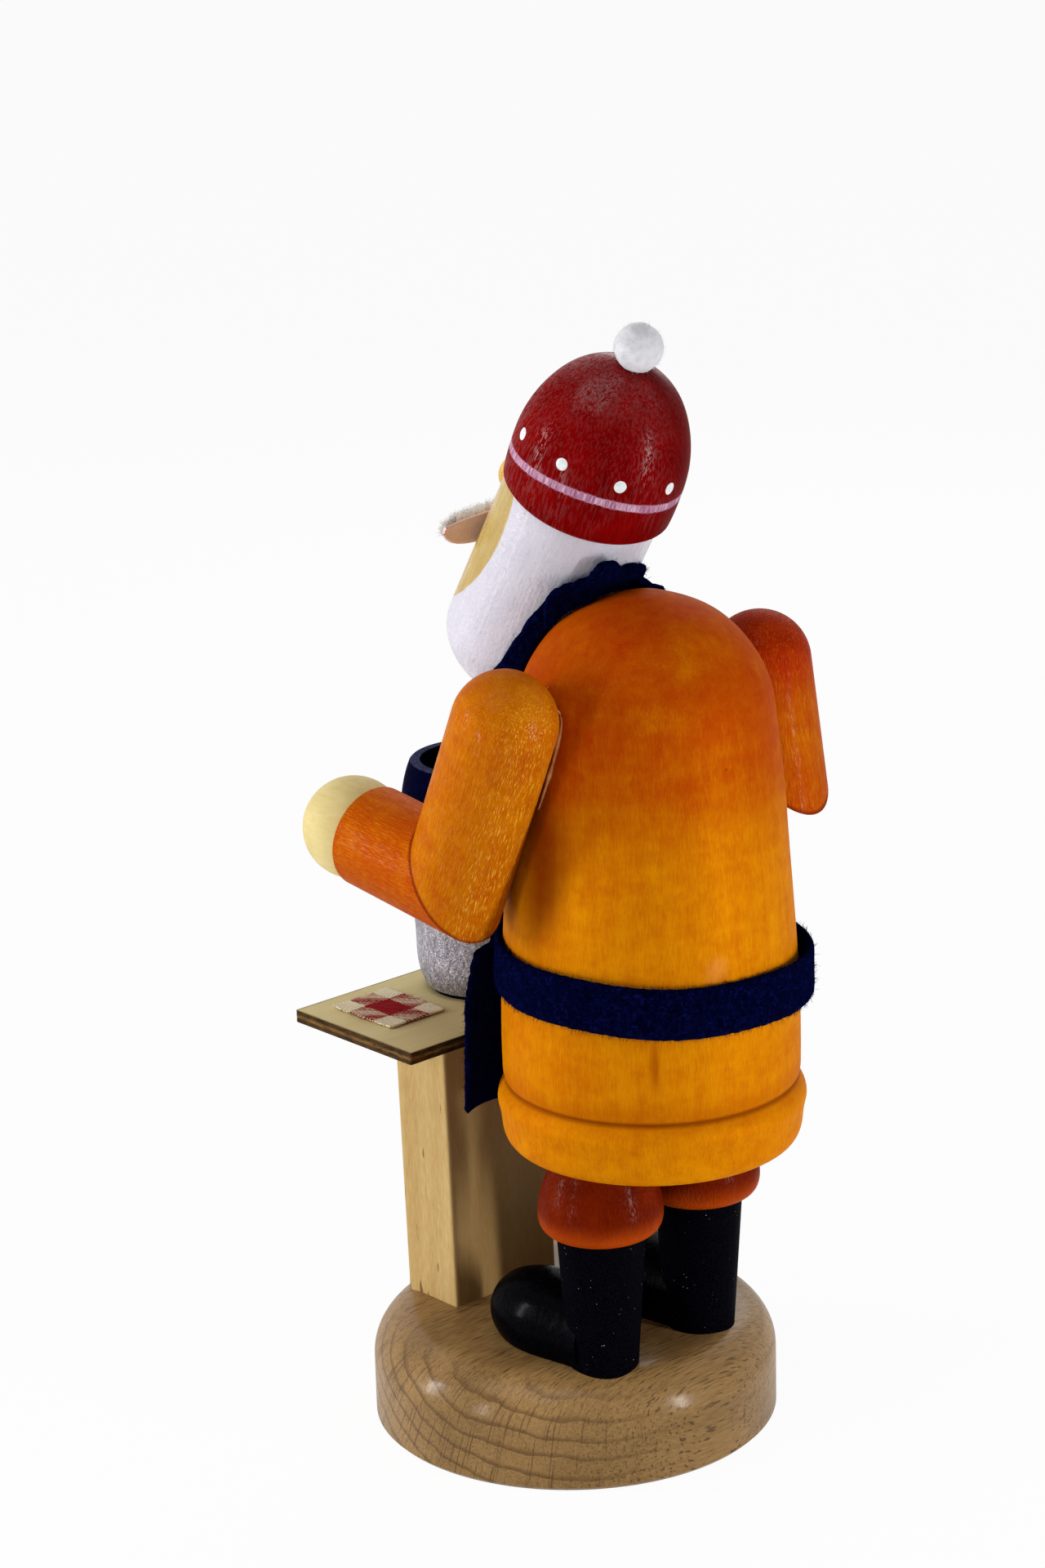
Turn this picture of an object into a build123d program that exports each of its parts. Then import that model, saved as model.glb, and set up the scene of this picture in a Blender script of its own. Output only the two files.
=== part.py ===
from build123d import *
import math
import os

# Sizes in millimetres. Z is up, the figure faces -Y and its left side is +X.
# The origin is the centre of the underside of the base.

# Base
BASE_D = 86.0
BASE_T = 23.0
BASE_ROUND = 9.8
BASE_CHAMFER = 0.8

# Joinery: radial clearance and spare depth of blind holes
FIT = 0.03
SPARE = 0.4

# Figure position and heights
FIG_X = 1.4
FIG_SETBACK = 16.3
FIG_Y = BASE_D / 2 - FIG_SETBACK
LEG_SPACING = 28.0
LEG_FWD = 1.2
LEG_Y = FIG_Y - LEG_FWD
BOOT_SEAT = 1.5
BOOT_FOOT_D = 14.6
BOOT_TOP_D = 18.4
BOOT_H = 29.5
TROUSER_H = 18.0
LEG_JOIN_Z = BASE_T + BOOT_H
DISC_Z = LEG_JOIN_Z + TROUSER_H
DISC_T = 7.5
COAT_STEP_Z = DISC_Z + DISC_T
BASE_TENON_D = 7.0
BASE_TENON_L = 8.0
LEG_TENON_D = 9.0
LEG_TENON_L = 11.0
DISC_TENON_D = 10.0
DISC_TENON_L = 5.0

# Boot toes
TOE_R = 9.8
TOE_UP = 5.2
TOE_AXIS_Z = BASE_T + TOE_UP
TOE_REACH = 20.2
TOE_HEEL_R = 8.4
TOE_DOWEL_D = 4.0
TOE_DOWEL_L = 12.0
TOE_DOWEL_UP = 1.5

# Trousers
CUFF_R = 12.9
CUFF_H = 5.0
CUFF_FOOT_R = 9.6
TROUSER_TOP_R = 9.8

# Coat
HEM_LAP = 0.5
HEM_Z = DISC_Z - HEM_LAP
WAIST_R = 30.4
HEM_FLARE = 0.7
HEM_R = WAIST_R + HEM_FLARE
HEM_H = 13.6
GROOVE_Z = HEM_Z + HEM_H
GROOVE_DEPTH = 0.7
GROOVE_RUN = 3.2
GROOVE_R = WAIST_R - GROOVE_DEPTH
SHOULDER_UP = 87.0
SHOULDER_Z = HEM_Z + SHOULDER_UP
SHOULDER_TAPER = 4.2
SHOULDER_R = WAIST_R - SHOULDER_TAPER
DOME_H = 27.3
HEM_WALL = 4.4
HEM_LIP = 1.6
COAT_WALL = 6.9
SHOULDER_WALL = 9.2
COAT_BORE_R = WAIST_R - HEM_WALL
CAVITY_R = WAIST_R - COAT_WALL
CAVITY_TOP_R = SHOULDER_R - SHOULDER_WALL
CAVITY_WAIST_UP = 52.0
CAVITY_NECK_UP = 66.0
CAVITY_ROOF_UP = 80.0
CAVITY_WAIST_Z = HEM_Z + CAVITY_WAIST_UP
CAVITY_NECK_Z = HEM_Z + CAVITY_NECK_UP
CAVITY_ROOF_Z = HEM_Z + CAVITY_ROOF_UP
CAVITY_ROOF_H = 18.0
DISC_CLEAR = 0.05
DISC_EDGE = 0.6

# Incense dish on the seat disc
DISH_R = 12.0
DISH_T = 0.5
DISH_RIM = 2.5
DISH_FLARE = 1.2
NAIL_D = 2.0
NAIL_HEAD_D = 4.6
NAIL_HEAD_T = 0.4
NAIL_L = 6.5
AIR_HOLE_D = 4.0
AIR_HOLE_EDGE = 6.5
AIR_HOLE_R = COAT_BORE_R - AIR_HOLE_EDGE

# Table
TABLE_X = 4.8
TABLE_GAP = 1.1
POST_W = 28.8
POST_D = 15.8
POST_SEAT = 0.8
POST_EDGE = 0.8
POST_LEAN_X = 0.9
POST_LEAN_Y = -0.8
PLATE_L = 67.2
PLATE_W = 36.8
PLATE_T = 2.6
PLATE_EDGE = 0.4
TABLE_H = 66.2
PLATE_TOP_Z = BASE_T + TABLE_H
TABLE_Y = FIG_Y - HEM_R - TABLE_GAP - PLATE_W / 2
POST_DOWEL_D = 6.0
POST_DOWEL_L = 20.0
POST_DOWEL_SPACING = 14.0

# Cloth patch and pot on the table
CLOTH_L = 15.0
CLOTH_W = 18.2
CLOTH_T = 0.6
CLOTH_DX = 20.1
CLOTH_DY = -4.0
POT_DX = -4.8
POT_DY = -2.1
POT_EDGE = 1.2
POT_RIM_EDGE = 0.4
POT_H = 50.2
POT_FOOT_R = 12.3
POT_BELLY_R = 16.3
POT_RIM_R = 14.2
POT_BORE_R = 12.0
POT_BORE_DEPTH = 46.0

# Belt
BELT_W = 10.0
BELT_T = 1.6
BELT_UP = 33.0
BELT_Z = HEM_Z + BELT_UP
BELT_SINK = 0.55
BELT_TAPER = 0.4
TAIL_TOP = 8.0
TAIL_DROP = 36.5
TAIL_OUT = 3.44
TAIL_ANGLE = 37.07
TAIL_TURN_ANGLE = 191.5
TAIL_FLARE = 4.6

# Head
HEAD_TILT = 31.0
HEAD_R = 16.0
HEAD_FWD = 21.1
HEAD_UP = 123.7
HEAD_Z = HEM_Z + HEAD_UP
HEAD_LOW = 27.4
BEARD_H = 13.5
NOSE_R = 4.2
NOSE_OUT = 0.8
TASH_DOWN = 9.0
TASH_SPAN = 34.0
TASH_H = 8.0
TASH_T = 2.4
TASH_BED = 0.7
NECK_DOWN = 18.3
NECK_D = 9.0
NECK_BORE_D = 5.0
NECK_HEAD_DEPTH = 3.0
NECK_END = 20.0
MOUTH_D = 4.0

# Scarf
SCARF_W = 6.0
SCARF_T = 1.6

# Hat and pompom
HAT_TILT = 26.5
HAT_FWD = 15.7
HAT_UP = 131.6
HAT_Z = HEM_Z + HAT_UP
HAT_R = 17.6
HAT_BRIM_R = 17.3
HAT_BAND_H = 8.0
HAT_H = 30.8
HAT_EDGE = 0.6
HAT_DOWEL_D = 8.0
HAT_DOWEL_L = 16.0
POMPOM_R = 4.9
POMPOM_SINK = 1.0
PIN_D = 1.6
PIN_L = 8.0

# Arms
ARM_R = 10.6
ARM_OUT = 8.8
ARM_X = SHOULDER_R + ARM_OUT
SHOULDER_FWD = 2.8
LEFT_SHOULDER_UP = 94.5
LEFT_ELBOW_FWD = 18.3
LEFT_ELBOW_UP = 59.2
LEFT_HAND_FWD = 49.6
LEFT_HAND_UP = 63.3
RIGHT_SHOULDER_UP = 92.7
RIGHT_ELBOW_FWD = 0.0
RIGHT_ELBOW_UP = 76.3
RIGHT_HAND_FWD = 33.0
RIGHT_HAND_UP = 82.0
HAND_R = 10.5
HAND_OUT = 5.8
ARM_DOWEL_D = 5.0
LEFT_SHOULDER_DOWEL_DROP = 15.5
RIGHT_SHOULDER_DOWEL_DROP = 2.7
SHOULDER_DOWEL_OUT = 3.0
SHOULDER_DOWEL_IN = 13.0
ELBOW_DOWEL_L = 14.0
HAND_DOWEL_D = 4.0
HAND_DOWEL_L = 12.0
HAND_DOWEL_SET = 4.0

LOW = (Align.CENTER, Align.CENTER, Align.MIN)
MID = (Align.CENTER, Align.CENTER, Align.CENTER)


def lathe(*edges):
    """Revolve a closed profile of edges drawn in the XZ plane."""
    return revolve(make_face(list(edges)), Axis.Z, 360)


def chain(points, closed=True):
    """Straight edges through (radius, height) points."""
    pts = [Vector(r, 0, z) for r, z in points]
    if closed:
        pts.append(pts[0])
    return [Edge.make_line(a, b) for a, b in zip(pts, pts[1:])]


def curve(points, tangents=None):
    """Smooth edge through (radius, height) points."""
    return Edge.make_spline([Vector(r, 0, z) for r, z in points], tangents=tangents)


def rod(start, end, radius):
    """Cylinder between two points."""
    a = Vector(*start)
    b = Vector(*end)
    plane = Plane(origin=a, z_dir=b - a)
    return plane * Cylinder(radius, (b - a).length, align=LOW)


def half_space(point, normal, size=160.0):
    """Large block on the far side of a plane, in the direction of its normal."""
    return Plane(origin=point, z_dir=normal) * Box(size, size, size, align=LOW)


def leg_x(side):
    return FIG_X + side * LEG_SPACING / 2


def boot_radius(z):
    """Radius of the boot shaft at a height."""
    share = (z - BASE_T) / (LEG_JOIN_Z - BASE_T)
    return (BOOT_FOOT_D + (BOOT_TOP_D - BOOT_FOOT_D) * share) / 2


def head_point(down, out):
    """Point on the head's middle plane: down along its axis, out to the face."""
    t = math.radians(HEAD_TILT)
    fwd = HEAD_FWD + down * math.sin(t) + out * math.cos(t)
    z = HEAD_Z - down * math.cos(t) + out * math.sin(t)
    return Vector(FIG_X, FIG_Y - fwd, z)


def hat_point(up):
    t = math.radians(HAT_TILT)
    return Vector(FIG_X, FIG_Y - HAT_FWD + up * math.sin(t), HAT_Z + up * math.cos(t))


HEAD_FRAME = Location(head_point(0, 0), (-HEAD_TILT, 0, 0))
HAT_FRAME = Location(hat_point(0), (-HAT_TILT, 0, 0))


def arm_points(side):
    """Shoulder, elbow and hand centres of one arm."""
    x = FIG_X + side * ARM_X
    if side > 0:
        shoulder = (SHOULDER_FWD, LEFT_SHOULDER_UP)
        elbow = (LEFT_ELBOW_FWD, LEFT_ELBOW_UP)
        hand = (LEFT_HAND_FWD, LEFT_HAND_UP)
    else:
        shoulder = (SHOULDER_FWD, RIGHT_SHOULDER_UP)
        elbow = (RIGHT_ELBOW_FWD, RIGHT_ELBOW_UP)
        hand = (RIGHT_HAND_FWD, RIGHT_HAND_UP)
    return [Vector(x, FIG_Y - fwd, HEM_Z + up) for fwd, up in (shoulder, elbow, hand)]


def mitre(side):
    """Elbow point and the normal of the mitre plane."""
    shoulder, elbow, hand = arm_points(side)
    normal = (elbow - shoulder).normalized() + (hand - elbow).normalized()
    return elbow, normal.normalized()


# Base group

def base_plate():
    r = BASE_D / 2
    body = Cylinder(r, BASE_T, align=LOW)
    body = fillet(body.edges().group_by(Axis.Z)[-1], BASE_ROUND)
    body = chamfer(body.edges().group_by(Axis.Z)[0], BASE_CHAMFER)
    for side in (1, -1):
        spot = Pos(leg_x(side), LEG_Y, BASE_T - BOOT_SEAT)
        body -= spot * Cylinder(BOOT_FOOT_D / 2 + FIT, BOOT_H, align=LOW)
        depth = BASE_TENON_L + SPARE
        hole = Cylinder(BASE_TENON_D / 2 + FIT, depth, align=LOW)
        body -= Pos(leg_x(side), LEG_Y, BASE_T - BOOT_SEAT - depth) * hole
    pocket = Box(POST_W + 2 * FIT, POST_D + 2 * FIT, TABLE_H, align=LOW)
    body -= Pos(TABLE_X, TABLE_Y, BASE_T - POST_SEAT) * pocket
    for side in (1, -1):
        body -= post_dowel_blank(side, FIT, SPARE)
    return body


def boot_shaft(side):
    foot = BASE_T - BOOT_SEAT
    profile = chain([
        (0, foot - BASE_TENON_L),
        (BASE_TENON_D / 2, foot - BASE_TENON_L),
        (BASE_TENON_D / 2, foot),
        (BOOT_FOOT_D / 2, foot),
        (BOOT_FOOT_D / 2, BASE_T),
        (BOOT_TOP_D / 2, LEG_JOIN_Z),
        (LEG_TENON_D / 2, LEG_JOIN_Z),
        (LEG_TENON_D / 2, LEG_JOIN_Z + LEG_TENON_L),
        (0, LEG_JOIN_Z + LEG_TENON_L),
    ])
    shaft = Pos(leg_x(side), LEG_Y, 0) * lathe(*profile)
    return shaft - toe_dowel_blank(side, FIT, SPARE)


def toe_dowel_blank(side, clear=0.0, extra=0.0):
    y = LEG_Y - boot_radius(TOE_AXIS_Z)
    half = TOE_DOWEL_L / 2 + extra
    z = TOE_AXIS_Z + TOE_DOWEL_UP
    return rod((leg_x(side), y + half, z), (leg_x(side), y - half, z), TOE_DOWEL_D / 2 + clear)


def boot_toe(side):
    """Turned toe cap, flat underneath and coped to the round boot shaft."""
    profile = [
        Edge.make_line((0, 0, 0), (TOE_HEEL_R, 0, 0)),
        curve([(TOE_HEEL_R, 0), (TOE_R, TOE_REACH * 0.95), (TOE_R * 0.72, TOE_REACH + TOE_R * 0.69),
               (0, TOE_REACH + TOE_R)], tangents=[(0.06, 0, 1), (-1, 0, 0)]),
        Edge.make_line((0, 0, TOE_REACH + TOE_R), (0, 0, 0)),
    ]
    cap = Plane(origin=(leg_x(side), LEG_Y, TOE_AXIS_Z), z_dir=(0, -1, 0)) * lathe(*profile)
    cap -= half_space((leg_x(side), LEG_Y, BASE_T), (0, 0, -1))
    cap -= Pos(leg_x(side), LEG_Y, 0) * boot_clear()
    return cap - toe_dowel_blank(side, FIT, SPARE)


def boot_clear():
    """Room for the boot shaft behind the toe cap."""
    gap = 0.01
    return lathe(*chain([
        (0, 0), (BOOT_FOOT_D / 2 + gap, 0), (BOOT_FOOT_D / 2 + gap, BASE_T),
        (BOOT_TOP_D / 2 + gap, LEG_JOIN_Z), (0, LEG_JOIN_Z),
    ])) + half_space((0, 0, 0), (0, 1, 0))


def trouser_leg(side):
    """Bell-shaped leg, bored for the boot tenon and tenoned into the seat disc."""
    z0 = LEG_JOIN_Z
    z1 = DISC_Z
    neck = TROUSER_TOP_R + (CUFF_R - TROUSER_TOP_R) * 0.26
    cuff = curve(
        [(CUFF_FOOT_R, z0), (CUFF_R, z0 + CUFF_H), (neck, z0 + TROUSER_H * 0.75), (TROUSER_TOP_R, z1)],
        tangents=[(1, 0, 0.15), (-0.1, 0, 1)],
    )
    profile = [Edge.make_line((0, 0, z0), (CUFF_FOOT_R, 0, z0)), cuff]
    profile += chain([
        (TROUSER_TOP_R, z1), (DISC_TENON_D / 2, z1), (DISC_TENON_D / 2, z1 + DISC_TENON_L),
        (0, z1 + DISC_TENON_L), (0, z0),
    ], closed=False)
    leg = lathe(*profile)
    leg -= Pos(0, 0, z0) * Cylinder(LEG_TENON_D / 2 + FIT, LEG_TENON_L + SPARE, align=LOW)
    return Pos(leg_x(side), LEG_Y, 0) * leg


def seat_disc():
    """Turned plate that the coat stands on, with air holes for the incense."""
    disc = Cylinder(COAT_BORE_R - DISC_CLEAR, DISC_T, align=LOW)
    disc = chamfer(disc.edges().group_by(Axis.Z)[-1], DISC_EDGE)
    disc = Pos(FIG_X, FIG_Y, DISC_Z) * disc
    for side in (1, -1):
        hole = Cylinder(DISC_TENON_D / 2 + FIT, DISC_TENON_L + SPARE, align=LOW)
        disc -= Pos(leg_x(side), LEG_Y, DISC_Z) * hole
    for angle in (60, 120, 240, 300):
        spot = Pos(FIG_X, FIG_Y, DISC_Z) * Rot(0, 0, angle) * Pos(AIR_HOLE_R, 0, 0)
        disc -= spot * Cylinder(AIR_HOLE_D / 2, DISC_T * 3, align=MID)
    nail = Cylinder(NAIL_D / 2, NAIL_L - DISH_T, align=LOW)
    return disc - Pos(FIG_X, FIG_Y, COAT_STEP_Z - NAIL_L + DISH_T) * nail


def incense_dish():
    profile = chain([
        (NAIL_D / 2 + FIT, 0), (DISH_R - DISH_FLARE, 0), (DISH_R, DISH_RIM), (DISH_R - DISH_T, DISH_RIM),
        (DISH_R - DISH_FLARE - DISH_T * 0.6, DISH_T), (NAIL_D / 2 + FIT, DISH_T),
    ])
    return Pos(FIG_X, FIG_Y, COAT_STEP_Z) * lathe(*profile)


def dish_nail():
    profile = chain([
        (0, -NAIL_L + DISH_T), (NAIL_D / 2, -NAIL_L + DISH_T + NAIL_D * 0.6), (NAIL_D / 2, DISH_T),
        (NAIL_HEAD_D / 2, DISH_T), (NAIL_HEAD_D / 2, DISH_T + NAIL_HEAD_T), (0, DISH_T + NAIL_HEAD_T * 2.2),
    ])
    return Pos(FIG_X, FIG_Y, COAT_STEP_Z) * lathe(*profile)


def post_dowel_blank(side, clear=0.0, extra=0.0):
    x = TABLE_X + side * POST_DOWEL_SPACING / 2
    length = POST_DOWEL_L + 2 * extra
    spot = Pos(x, TABLE_Y, BASE_T - POST_SEAT)
    return spot * Cylinder(POST_DOWEL_D / 2 + clear, length, align=MID)


def table_post():
    """Squared post, glued with a slight lean towards the front left."""
    z0 = BASE_T - POST_SEAT
    height = PLATE_TOP_Z - PLATE_T - z0
    lean = Vector(POST_LEAN_X, POST_LEAN_Y, height)
    post = extrude(RectangleRounded(POST_W, POST_D, POST_EDGE), lean.length, dir=lean)
    post = Pos(TABLE_X, TABLE_Y, z0) * post
    for side in (1, -1):
        post -= post_dowel_blank(side, FIT, SPARE)
    return post


def table_top():
    plate = Box(PLATE_L, PLATE_W, PLATE_T, align=LOW)
    plate = fillet(plate.edges().filter_by(Axis.Z), PLATE_EDGE)
    return Pos(TABLE_X, TABLE_Y, PLATE_TOP_Z - PLATE_T) * plate


def table_cloth():
    cloth = Box(CLOTH_L, CLOTH_W, CLOTH_T, align=LOW)
    return Pos(TABLE_X + CLOTH_DX, TABLE_Y + CLOTH_DY, PLATE_TOP_Z) * cloth


def pot():
    """Barrel-shaped turned pot with a deep bore."""
    swell = POT_BELLY_R - POT_FOOT_R
    bulge = [(0.32, 0.097), (0.45, 0.27), (0.82, 0.483), (1.0, 0.676), (0.93, 0.85)]
    foot = (POT_FOOT_R, POT_EDGE)
    rim = (POT_RIM_R, POT_H - POT_RIM_EDGE)
    outside = curve([foot] + [(POT_FOOT_R + swell * r, POT_H * z) for r, z in bulge] + [rim])
    profile = [outside]
    profile += chain([
        rim, (POT_RIM_R - POT_RIM_EDGE, POT_H), (POT_BORE_R, POT_H),
        (POT_BORE_R, POT_H - POT_BORE_DEPTH), (0, POT_H - POT_BORE_DEPTH), (0, 0),
        (POT_FOOT_R - POT_EDGE, 0), foot,
    ], closed=False)
    return Pos(TABLE_X + POT_DX, TABLE_Y + POT_DY, PLATE_TOP_Z) * lathe(*profile)


# Coat group

def coat_outline(grow=0.0):
    """Solid outside shape of the coat, larger all round by a given amount."""
    g = grow
    hem = curve([
        (COAT_BORE_R + HEM_LIP, HEM_Z), (HEM_R - HEM_FLARE * 0.9 + g, HEM_Z + HEM_H * 0.19),
        (HEM_R + g, HEM_Z + HEM_H * 0.515), (GROOVE_R + g, GROOVE_Z),
    ], tangents=[(1, 0, 0.1), (-0.75, 0, 1)])
    wall = curve([
        (GROOVE_R + g, GROOVE_Z), (WAIST_R + g, GROOVE_Z + GROOVE_RUN),
        (WAIST_R - SHOULDER_TAPER * 0.19 + g, HEM_Z + SHOULDER_UP * 0.506),
        (WAIST_R - SHOULDER_TAPER * 0.571 + g, HEM_Z + SHOULDER_UP * 0.77), (SHOULDER_R + g, SHOULDER_Z),
    ], tangents=[(0.5, 0, 0.5), (-0.12, 0, 1)])
    steps = [math.radians(a) for a in (0, 20, 40, 60, 78, 90)]
    dome = curve(
        [((SHOULDER_R + g) * math.cos(a), SHOULDER_Z + (DOME_H + g) * math.sin(a)) for a in steps],
        tangents=[(-0.12, 0, 1), (-1, 0, 0)],
    )
    top = SHOULDER_Z + DOME_H + g
    closing = chain([(0, top), (0, HEM_Z), (COAT_BORE_R + HEM_LIP, HEM_Z)], closed=False)
    return Pos(FIG_X, FIG_Y, 0) * lathe(hem, wall, dome, *closing)


def coat_cavity():
    """Bore for the seat disc and the smoke chamber above it."""
    roof = curve([
        (CAVITY_TOP_R, CAVITY_ROOF_Z), (CAVITY_TOP_R * 0.87, CAVITY_ROOF_Z + CAVITY_ROOF_H * 0.5),
        (CAVITY_TOP_R * 0.5, CAVITY_ROOF_Z + CAVITY_ROOF_H * 0.87), (0, CAVITY_ROOF_Z + CAVITY_ROOF_H),
    ], tangents=[(0, 0, 1), (-1, 0, 0)])
    profile = chain([
        (0, CAVITY_ROOF_Z + CAVITY_ROOF_H), (0, HEM_Z - DISC_T), (COAT_BORE_R, HEM_Z - DISC_T),
        (COAT_BORE_R, COAT_STEP_Z), (CAVITY_R, COAT_STEP_Z), (CAVITY_R, CAVITY_WAIST_Z),
        (CAVITY_TOP_R, CAVITY_NECK_Z), (CAVITY_TOP_R, CAVITY_ROOF_Z),
    ], closed=False)
    return Pos(FIG_X, FIG_Y, 0) * lathe(roof, *profile)


def coat():
    body = coat_outline() - coat_cavity()
    body -= neck_blank(FIT, 0.0)
    body -= rod(head_point(NECK_DOWN, 0), head_point(NECK_DOWN, -NECK_END * 2), NECK_BORE_D / 2)
    for side in (1, -1):
        body -= shoulder_dowel_blank(side, FIT, SPARE)
    return body


def belt_tail():
    """Belt end hanging clear of the coat at the front left."""
    z0 = BELT_Z + TAIL_TOP
    hang = [(0, 0), (0.26, 0.137), (0.74, 0.356), (1.0, 0.658), (0.96, 1.0)]
    pts = [(TAIL_FLARE * n, z0 - TAIL_DROP * down) for n, down in hang]
    outer = [Vector(0, n + BELT_T, z) for n, z in pts]
    inner = [Vector(0, n, z) for n, z in pts]
    edges = [
        Edge.make_spline(inner),
        Edge.make_line(inner[-1], outer[-1]),
        Edge.make_spline(list(reversed(outer))),
        Edge.make_line(outer[0], inner[0]),
    ]
    strip = extrude(make_face(edges), BELT_W, dir=(1, 0, 0))
    reach = WAIST_R + TAIL_OUT
    x = FIG_X + reach * math.cos(math.radians(TAIL_ANGLE))
    y = FIG_Y - reach * math.sin(math.radians(TAIL_ANGLE))
    return Location((x, y, 0), (0, 0, TAIL_TURN_ANGLE)) * strip


def belt():
    """Felt strip round the waist with one end hanging at the front."""
    z0 = BELT_Z
    z1 = BELT_Z + BELT_W
    outer = WAIST_R - BELT_SINK + BELT_T
    band = lathe(*chain([(CAVITY_R, z0), (outer, z0), (outer - BELT_TAPER, z1), (CAVITY_R, z1)]))
    band = Pos(FIG_X, FIG_Y, 0) * band + belt_tail()
    return band - coat_outline()


def shoulder_dowel_blank(side, clear=0.0, extra=0.0):
    shoulder, elbow, hand = arm_points(side)
    drop = LEFT_SHOULDER_DOWEL_DROP if side > 0 else RIGHT_SHOULDER_DOWEL_DROP
    z = shoulder.Z - drop
    share = drop / (shoulder.Z - elbow.Z)
    y = shoulder.Y + (elbow.Y - shoulder.Y) * share * 0.5
    x = FIG_X + side * ARM_X
    outer = x + side * (SHOULDER_DOWEL_OUT + extra)
    inner = x - side * (SHOULDER_DOWEL_IN + extra)
    return rod((outer, y, z), (inner, y, z), ARM_DOWEL_D / 2 + clear)


def elbow_dowel_blank(side, clear=0.0, extra=0.0):
    elbow, normal = mitre(side)
    half = ELBOW_DOWEL_L / 2 + extra
    return rod(elbow - normal * half, elbow + normal * half, ARM_DOWEL_D / 2 + clear)


def hand_dowel_blank(side, clear=0.0, extra=0.0):
    shoulder, elbow, hand = arm_points(side)
    along = (hand - elbow).normalized()
    end = hand - along * (HAND_R - HAND_DOWEL_SET)
    half = HAND_DOWEL_L / 2 + extra
    return rod(end - along * half, end + along * half, HAND_DOWEL_D / 2 + clear)


def upper_arm(side):
    shoulder, elbow, hand = arm_points(side)
    point, normal = mitre(side)
    along = (elbow - shoulder).normalized()
    arm = rod(shoulder, elbow + along * 2 * ARM_R, ARM_R)
    arm += Pos(shoulder) * Sphere(ARM_R)
    arm -= half_space(point, normal)
    arm -= coat_outline()
    arm -= shoulder_dowel_blank(side, FIT, SPARE)
    return arm - elbow_dowel_blank(side, FIT, SPARE)


def forearm(side):
    shoulder, elbow, hand = arm_points(side)
    point, normal = mitre(side)
    along = (hand - elbow).normalized()
    arm = rod(elbow - along * 2 * ARM_R, hand - along * HAND_OUT, ARM_R)
    arm -= half_space(point, normal * -1)
    arm -= Pos(hand) * Sphere(HAND_R)
    arm -= coat_outline()
    arm -= elbow_dowel_blank(side, FIT, SPARE)
    return arm - hand_dowel_blank(side, FIT, SPARE)


def hand_ball(side):
    ball = Pos(arm_points(side)[2]) * Sphere(HAND_R)
    return ball - hand_dowel_blank(side, FIT, SPARE)


def neck_blank(clear=0.0, extra=0.0):
    start = head_point(NECK_DOWN, -NECK_HEAD_DEPTH + extra)
    return rod(start, head_point(NECK_DOWN, -NECK_END), NECK_D / 2 + clear)


def neck_tube():
    """Hollow dowel that joins the head to the coat and carries the smoke."""
    bore = rod(head_point(NECK_DOWN, HEAD_R), head_point(NECK_DOWN, -NECK_END * 2), NECK_BORE_D / 2)
    return neck_blank() - bore


def head_blank(radius=HEAD_R):
    """Turned head with the rounded beard at its lower end."""
    beard = curve([
        (radius, -HEAD_LOW), (radius * 0.9, -HEAD_LOW - BEARD_H * 0.436),
        (radius * 0.6, -HEAD_LOW - BEARD_H * 0.8), (0, -HEAD_LOW - BEARD_H),
    ], tangents=[(0, 0, -1), (-1, 0, 0)])
    sides = chain([(0, -HEAD_LOW - BEARD_H), (0, HAT_H), (radius, HAT_H), (radius, -HEAD_LOW)], closed=False)
    return HEAD_FRAME * lathe(beard, *sides)


def head():
    body = head_blank() - half_space(hat_point(0), hat_point(1) - hat_point(0))
    body -= coat_outline()
    body -= neck_blank(FIT, SPARE)
    body -= rod(head_point(NECK_DOWN, -NECK_HEAD_DEPTH), head_point(NECK_DOWN, HEAD_R * 2), MOUTH_D / 2)
    return body - hat_dowel_blank(FIT, SPARE)


def nose():
    ball = Pos(head_point(0, HEAD_R + NOSE_OUT)) * Sphere(NOSE_R)
    return ball - head_blank()


def moustache():
    """Crescent of pile fabric glued flat under the nose, its ends standing free."""
    s = TASH_SPAN / 2
    h = TASH_H
    top = [(s, 0), (s * 0.5, h * 0.05), (0, h * 0.12), (-s * 0.5, h * 0.05), (-s, 0)]
    low = [(-s, -h * 0.2), (-s * 0.7, -h * 0.68), (0, -h * 0.88), (s * 0.7, -h * 0.68), (s, -h * 0.2)]
    top_pts = [Vector(x, y, 0) for x, y in top]
    low_pts = [Vector(x, y, 0) for x, y in low]
    face = make_face([
        Edge.make_spline(top_pts),
        Edge.make_line(top_pts[-1], low_pts[0]),
        Edge.make_spline(low_pts),
        Edge.make_line(low_pts[-1], top_pts[0]),
    ])
    out = head_point(0, 1) - head_point(0, 0)
    plane = Plane(origin=head_point(TASH_DOWN, HEAD_R - TASH_BED), x_dir=(1, 0, 0), z_dir=out)
    return extrude(plane * face, TASH_T, dir=out) - head_blank()


def scarf():
    """Felt strip round the neck, lying in the corner between head and coat."""
    outer = Cylinder(HEAD_R + SCARF_T, HEAD_LOW + HAT_H, align=LOW)
    inner = Cylinder(HEAD_R, HEAD_LOW + HAT_H, align=LOW)
    tube = HEAD_FRAME * Pos(0, 0, -HEAD_LOW) * (outer - inner)
    return (tube & coat_outline(SCARF_W)) - coat_outline()


def hat_dowel_blank(clear=0.0, extra=0.0):
    half = HAT_DOWEL_L / 2 + extra
    return rod(hat_point(-half), hat_point(half), HAT_DOWEL_D / 2 + clear)


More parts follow.
